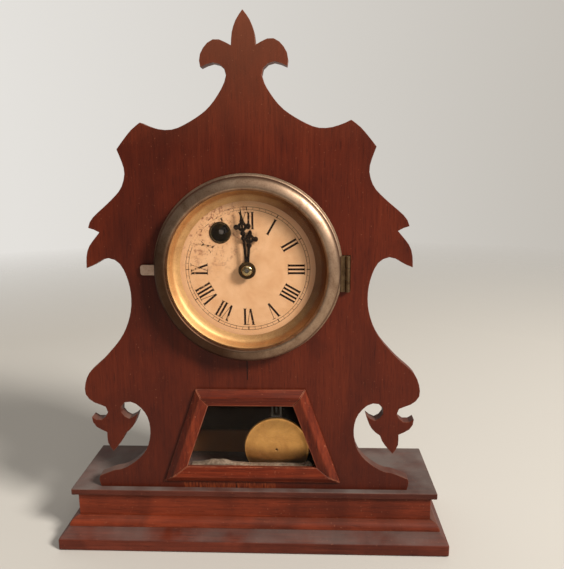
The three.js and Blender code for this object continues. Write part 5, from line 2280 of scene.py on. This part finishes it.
@dataclass
class Studio:
    """The pale floor, the soft lights and the camera of the photograph.

    The camera's place is in millimetres, its angles in radians and its focal length in pixels.
    """

    place: Place = (41.7, -432.5, 284.3)
    yaw: float = -0.0426
    pitch: float = 0.19648
    roll: float = -0.00961
    focal: float = 581.2
    frame_width: float = 564.0
    sensor: float = 36
    clip_start: float = 0.01
    floor_reach: float = 1.9
    floor_cells: int = 8
    floor_drop: float = 0.4 * MM
    aim: Place = (0, 0, 0.19)
    lamps: tuple[Lamp, ...] = (
        Lamp("window_light", (2.0, -1.4, 1.77), size=0.66, power=116, colour=(1.0, 0.965, 0.91)),
        Lamp("ceiling_light", (0.25, -1.5, 2.1), size=1.6, power=8, colour=(1.0, 0.96, 0.92)),
    )
    wall_left: Colour = srgb(228, 225, 220)
    wall_right: Colour = srgb(196, 191, 183)
    wall_span: Span = (-0.45, 0.4)
    room: Colour = (0.19, 0.184, 0.176, 1)
    room_span: Span = (0.0, 0.62)

    def build(self) -> None:
        """Set the stage."""
        self._camera()
        self._floor()
        for lamp in self.lamps:
            self._light(lamp)
        self._room()

    def _camera(self) -> None:
        """The camera, turned as the photograph's was."""
        data = bpy.data.cameras.new("photo_camera")
        data.sensor_fit = "HORIZONTAL"
        data.sensor_width = self.sensor
        data.lens = self.focal / self.frame_width * self.sensor
        data.clip_start = self.clip_start
        cos, sin = math.cos, math.sin
        level = cos(self.pitch)
        forward = Vector((sin(self.yaw) * level, cos(self.yaw) * level, -sin(self.pitch)))
        right = Vector((cos(self.yaw), -sin(self.yaw), 0))
        up = right.cross(forward)
        tilted_right = right * cos(self.roll) + up * sin(self.roll)
        tilted_up = up * cos(self.roll) - right * sin(self.roll)
        turn = Matrix((tilted_right, tilted_up, -forward)).transposed().to_4x4()
        camera = Bench.put("photo_camera", data)
        camera.matrix_world = Matrix.Translation(Vector(self.place) * MM) @ turn
        bpy.context.scene.camera = camera

    def _floor(self) -> None:
        """A pale floor that fades out into the pale room."""
        Bench.clear()
        bpy.ops.mesh.primitive_grid_add(
            x_subdivisions=self.floor_cells,
            y_subdivisions=self.floor_cells,
            size=2 * self.floor_reach,
            location=(0, 0, -self.floor_drop),
        )
        floor = Bench.named("floor")
        Bench.settle(floor)
        floor.data.materials.append(Floor("pale_floor", reach=self.floor_reach).material())

    def _light(self, lamp: Lamp) -> None:
        """A lamp that looks at the middle of the clock.

        Args:
            lamp: what the lamp is like.
        """
        data = bpy.data.lights.new(lamp.name, "AREA")
        data.shape = "SQUARE"
        data.size = lamp.size
        data.energy = lamp.power
        data.color = lamp.colour
        place = Vector(lamp.place)
        turn = (Vector(self.aim) - place).to_track_quat("-Z", "Y").to_matrix().to_4x4()
        Bench.put(lamp.name, data).matrix_world = Matrix.Translation(place) @ turn

    def _room(self) -> None:
        """A room with a pale wall behind the clock and dim ones before it."""
        world = bpy.data.worlds.new("pale_room")
        bpy.context.scene.world = world
        world.use_nodes = True
        wiring = Wiring(world.node_tree)
        axes = wiring.axes(wiring.add("ShaderNodeTexCoord").outputs["Generated"])
        across = wiring.span(axes["X"], *self.wall_span)
        wall = wiring.mix(across, self.wall_left, self.wall_right)
        behind = wiring.span(axes["Y"], *self.room_span)
        sky = world.node_tree.nodes["Background"]
        wiring.link(wiring.mix(behind, self.room, wall), sky.inputs["Color"])
        sky.inputs["Strength"].default_value = 1.0


def main() -> None:
    """Build the clock's looks in order and report them."""
    logging.basicConfig(level=logging.INFO, format="%(name)s: %(message)s")
    bpy.context.scene.view_settings.view_transform = "Standard"
    hour_hand = Hand(
        "hour_hand_pierced", "hour_hand", Body.HOUR,
        length=29, cross=22.3, lean=5, depth=2.6, boss=5.2, bore=3.55,
    )
    minute_hand = Hand(
        "minute_hand_pierced", "minute_hand", Body.MINUTE,
        length=44.4, cross=31, lean=-5.3, depth=4.7, boss=4.0, bore=1.65,
    )
    for assembly in (
        Studio(), Woodwork(), PuttyBead(), DialFace(), Bezel(), hour_hand, minute_hand,
        Centre(), Movement(), Pendulum(), BackFittings(),
    ):
        assembly.build()
    LOG.info("%d pieces in place", Job.count)


if __name__ == "__main__":
    main()
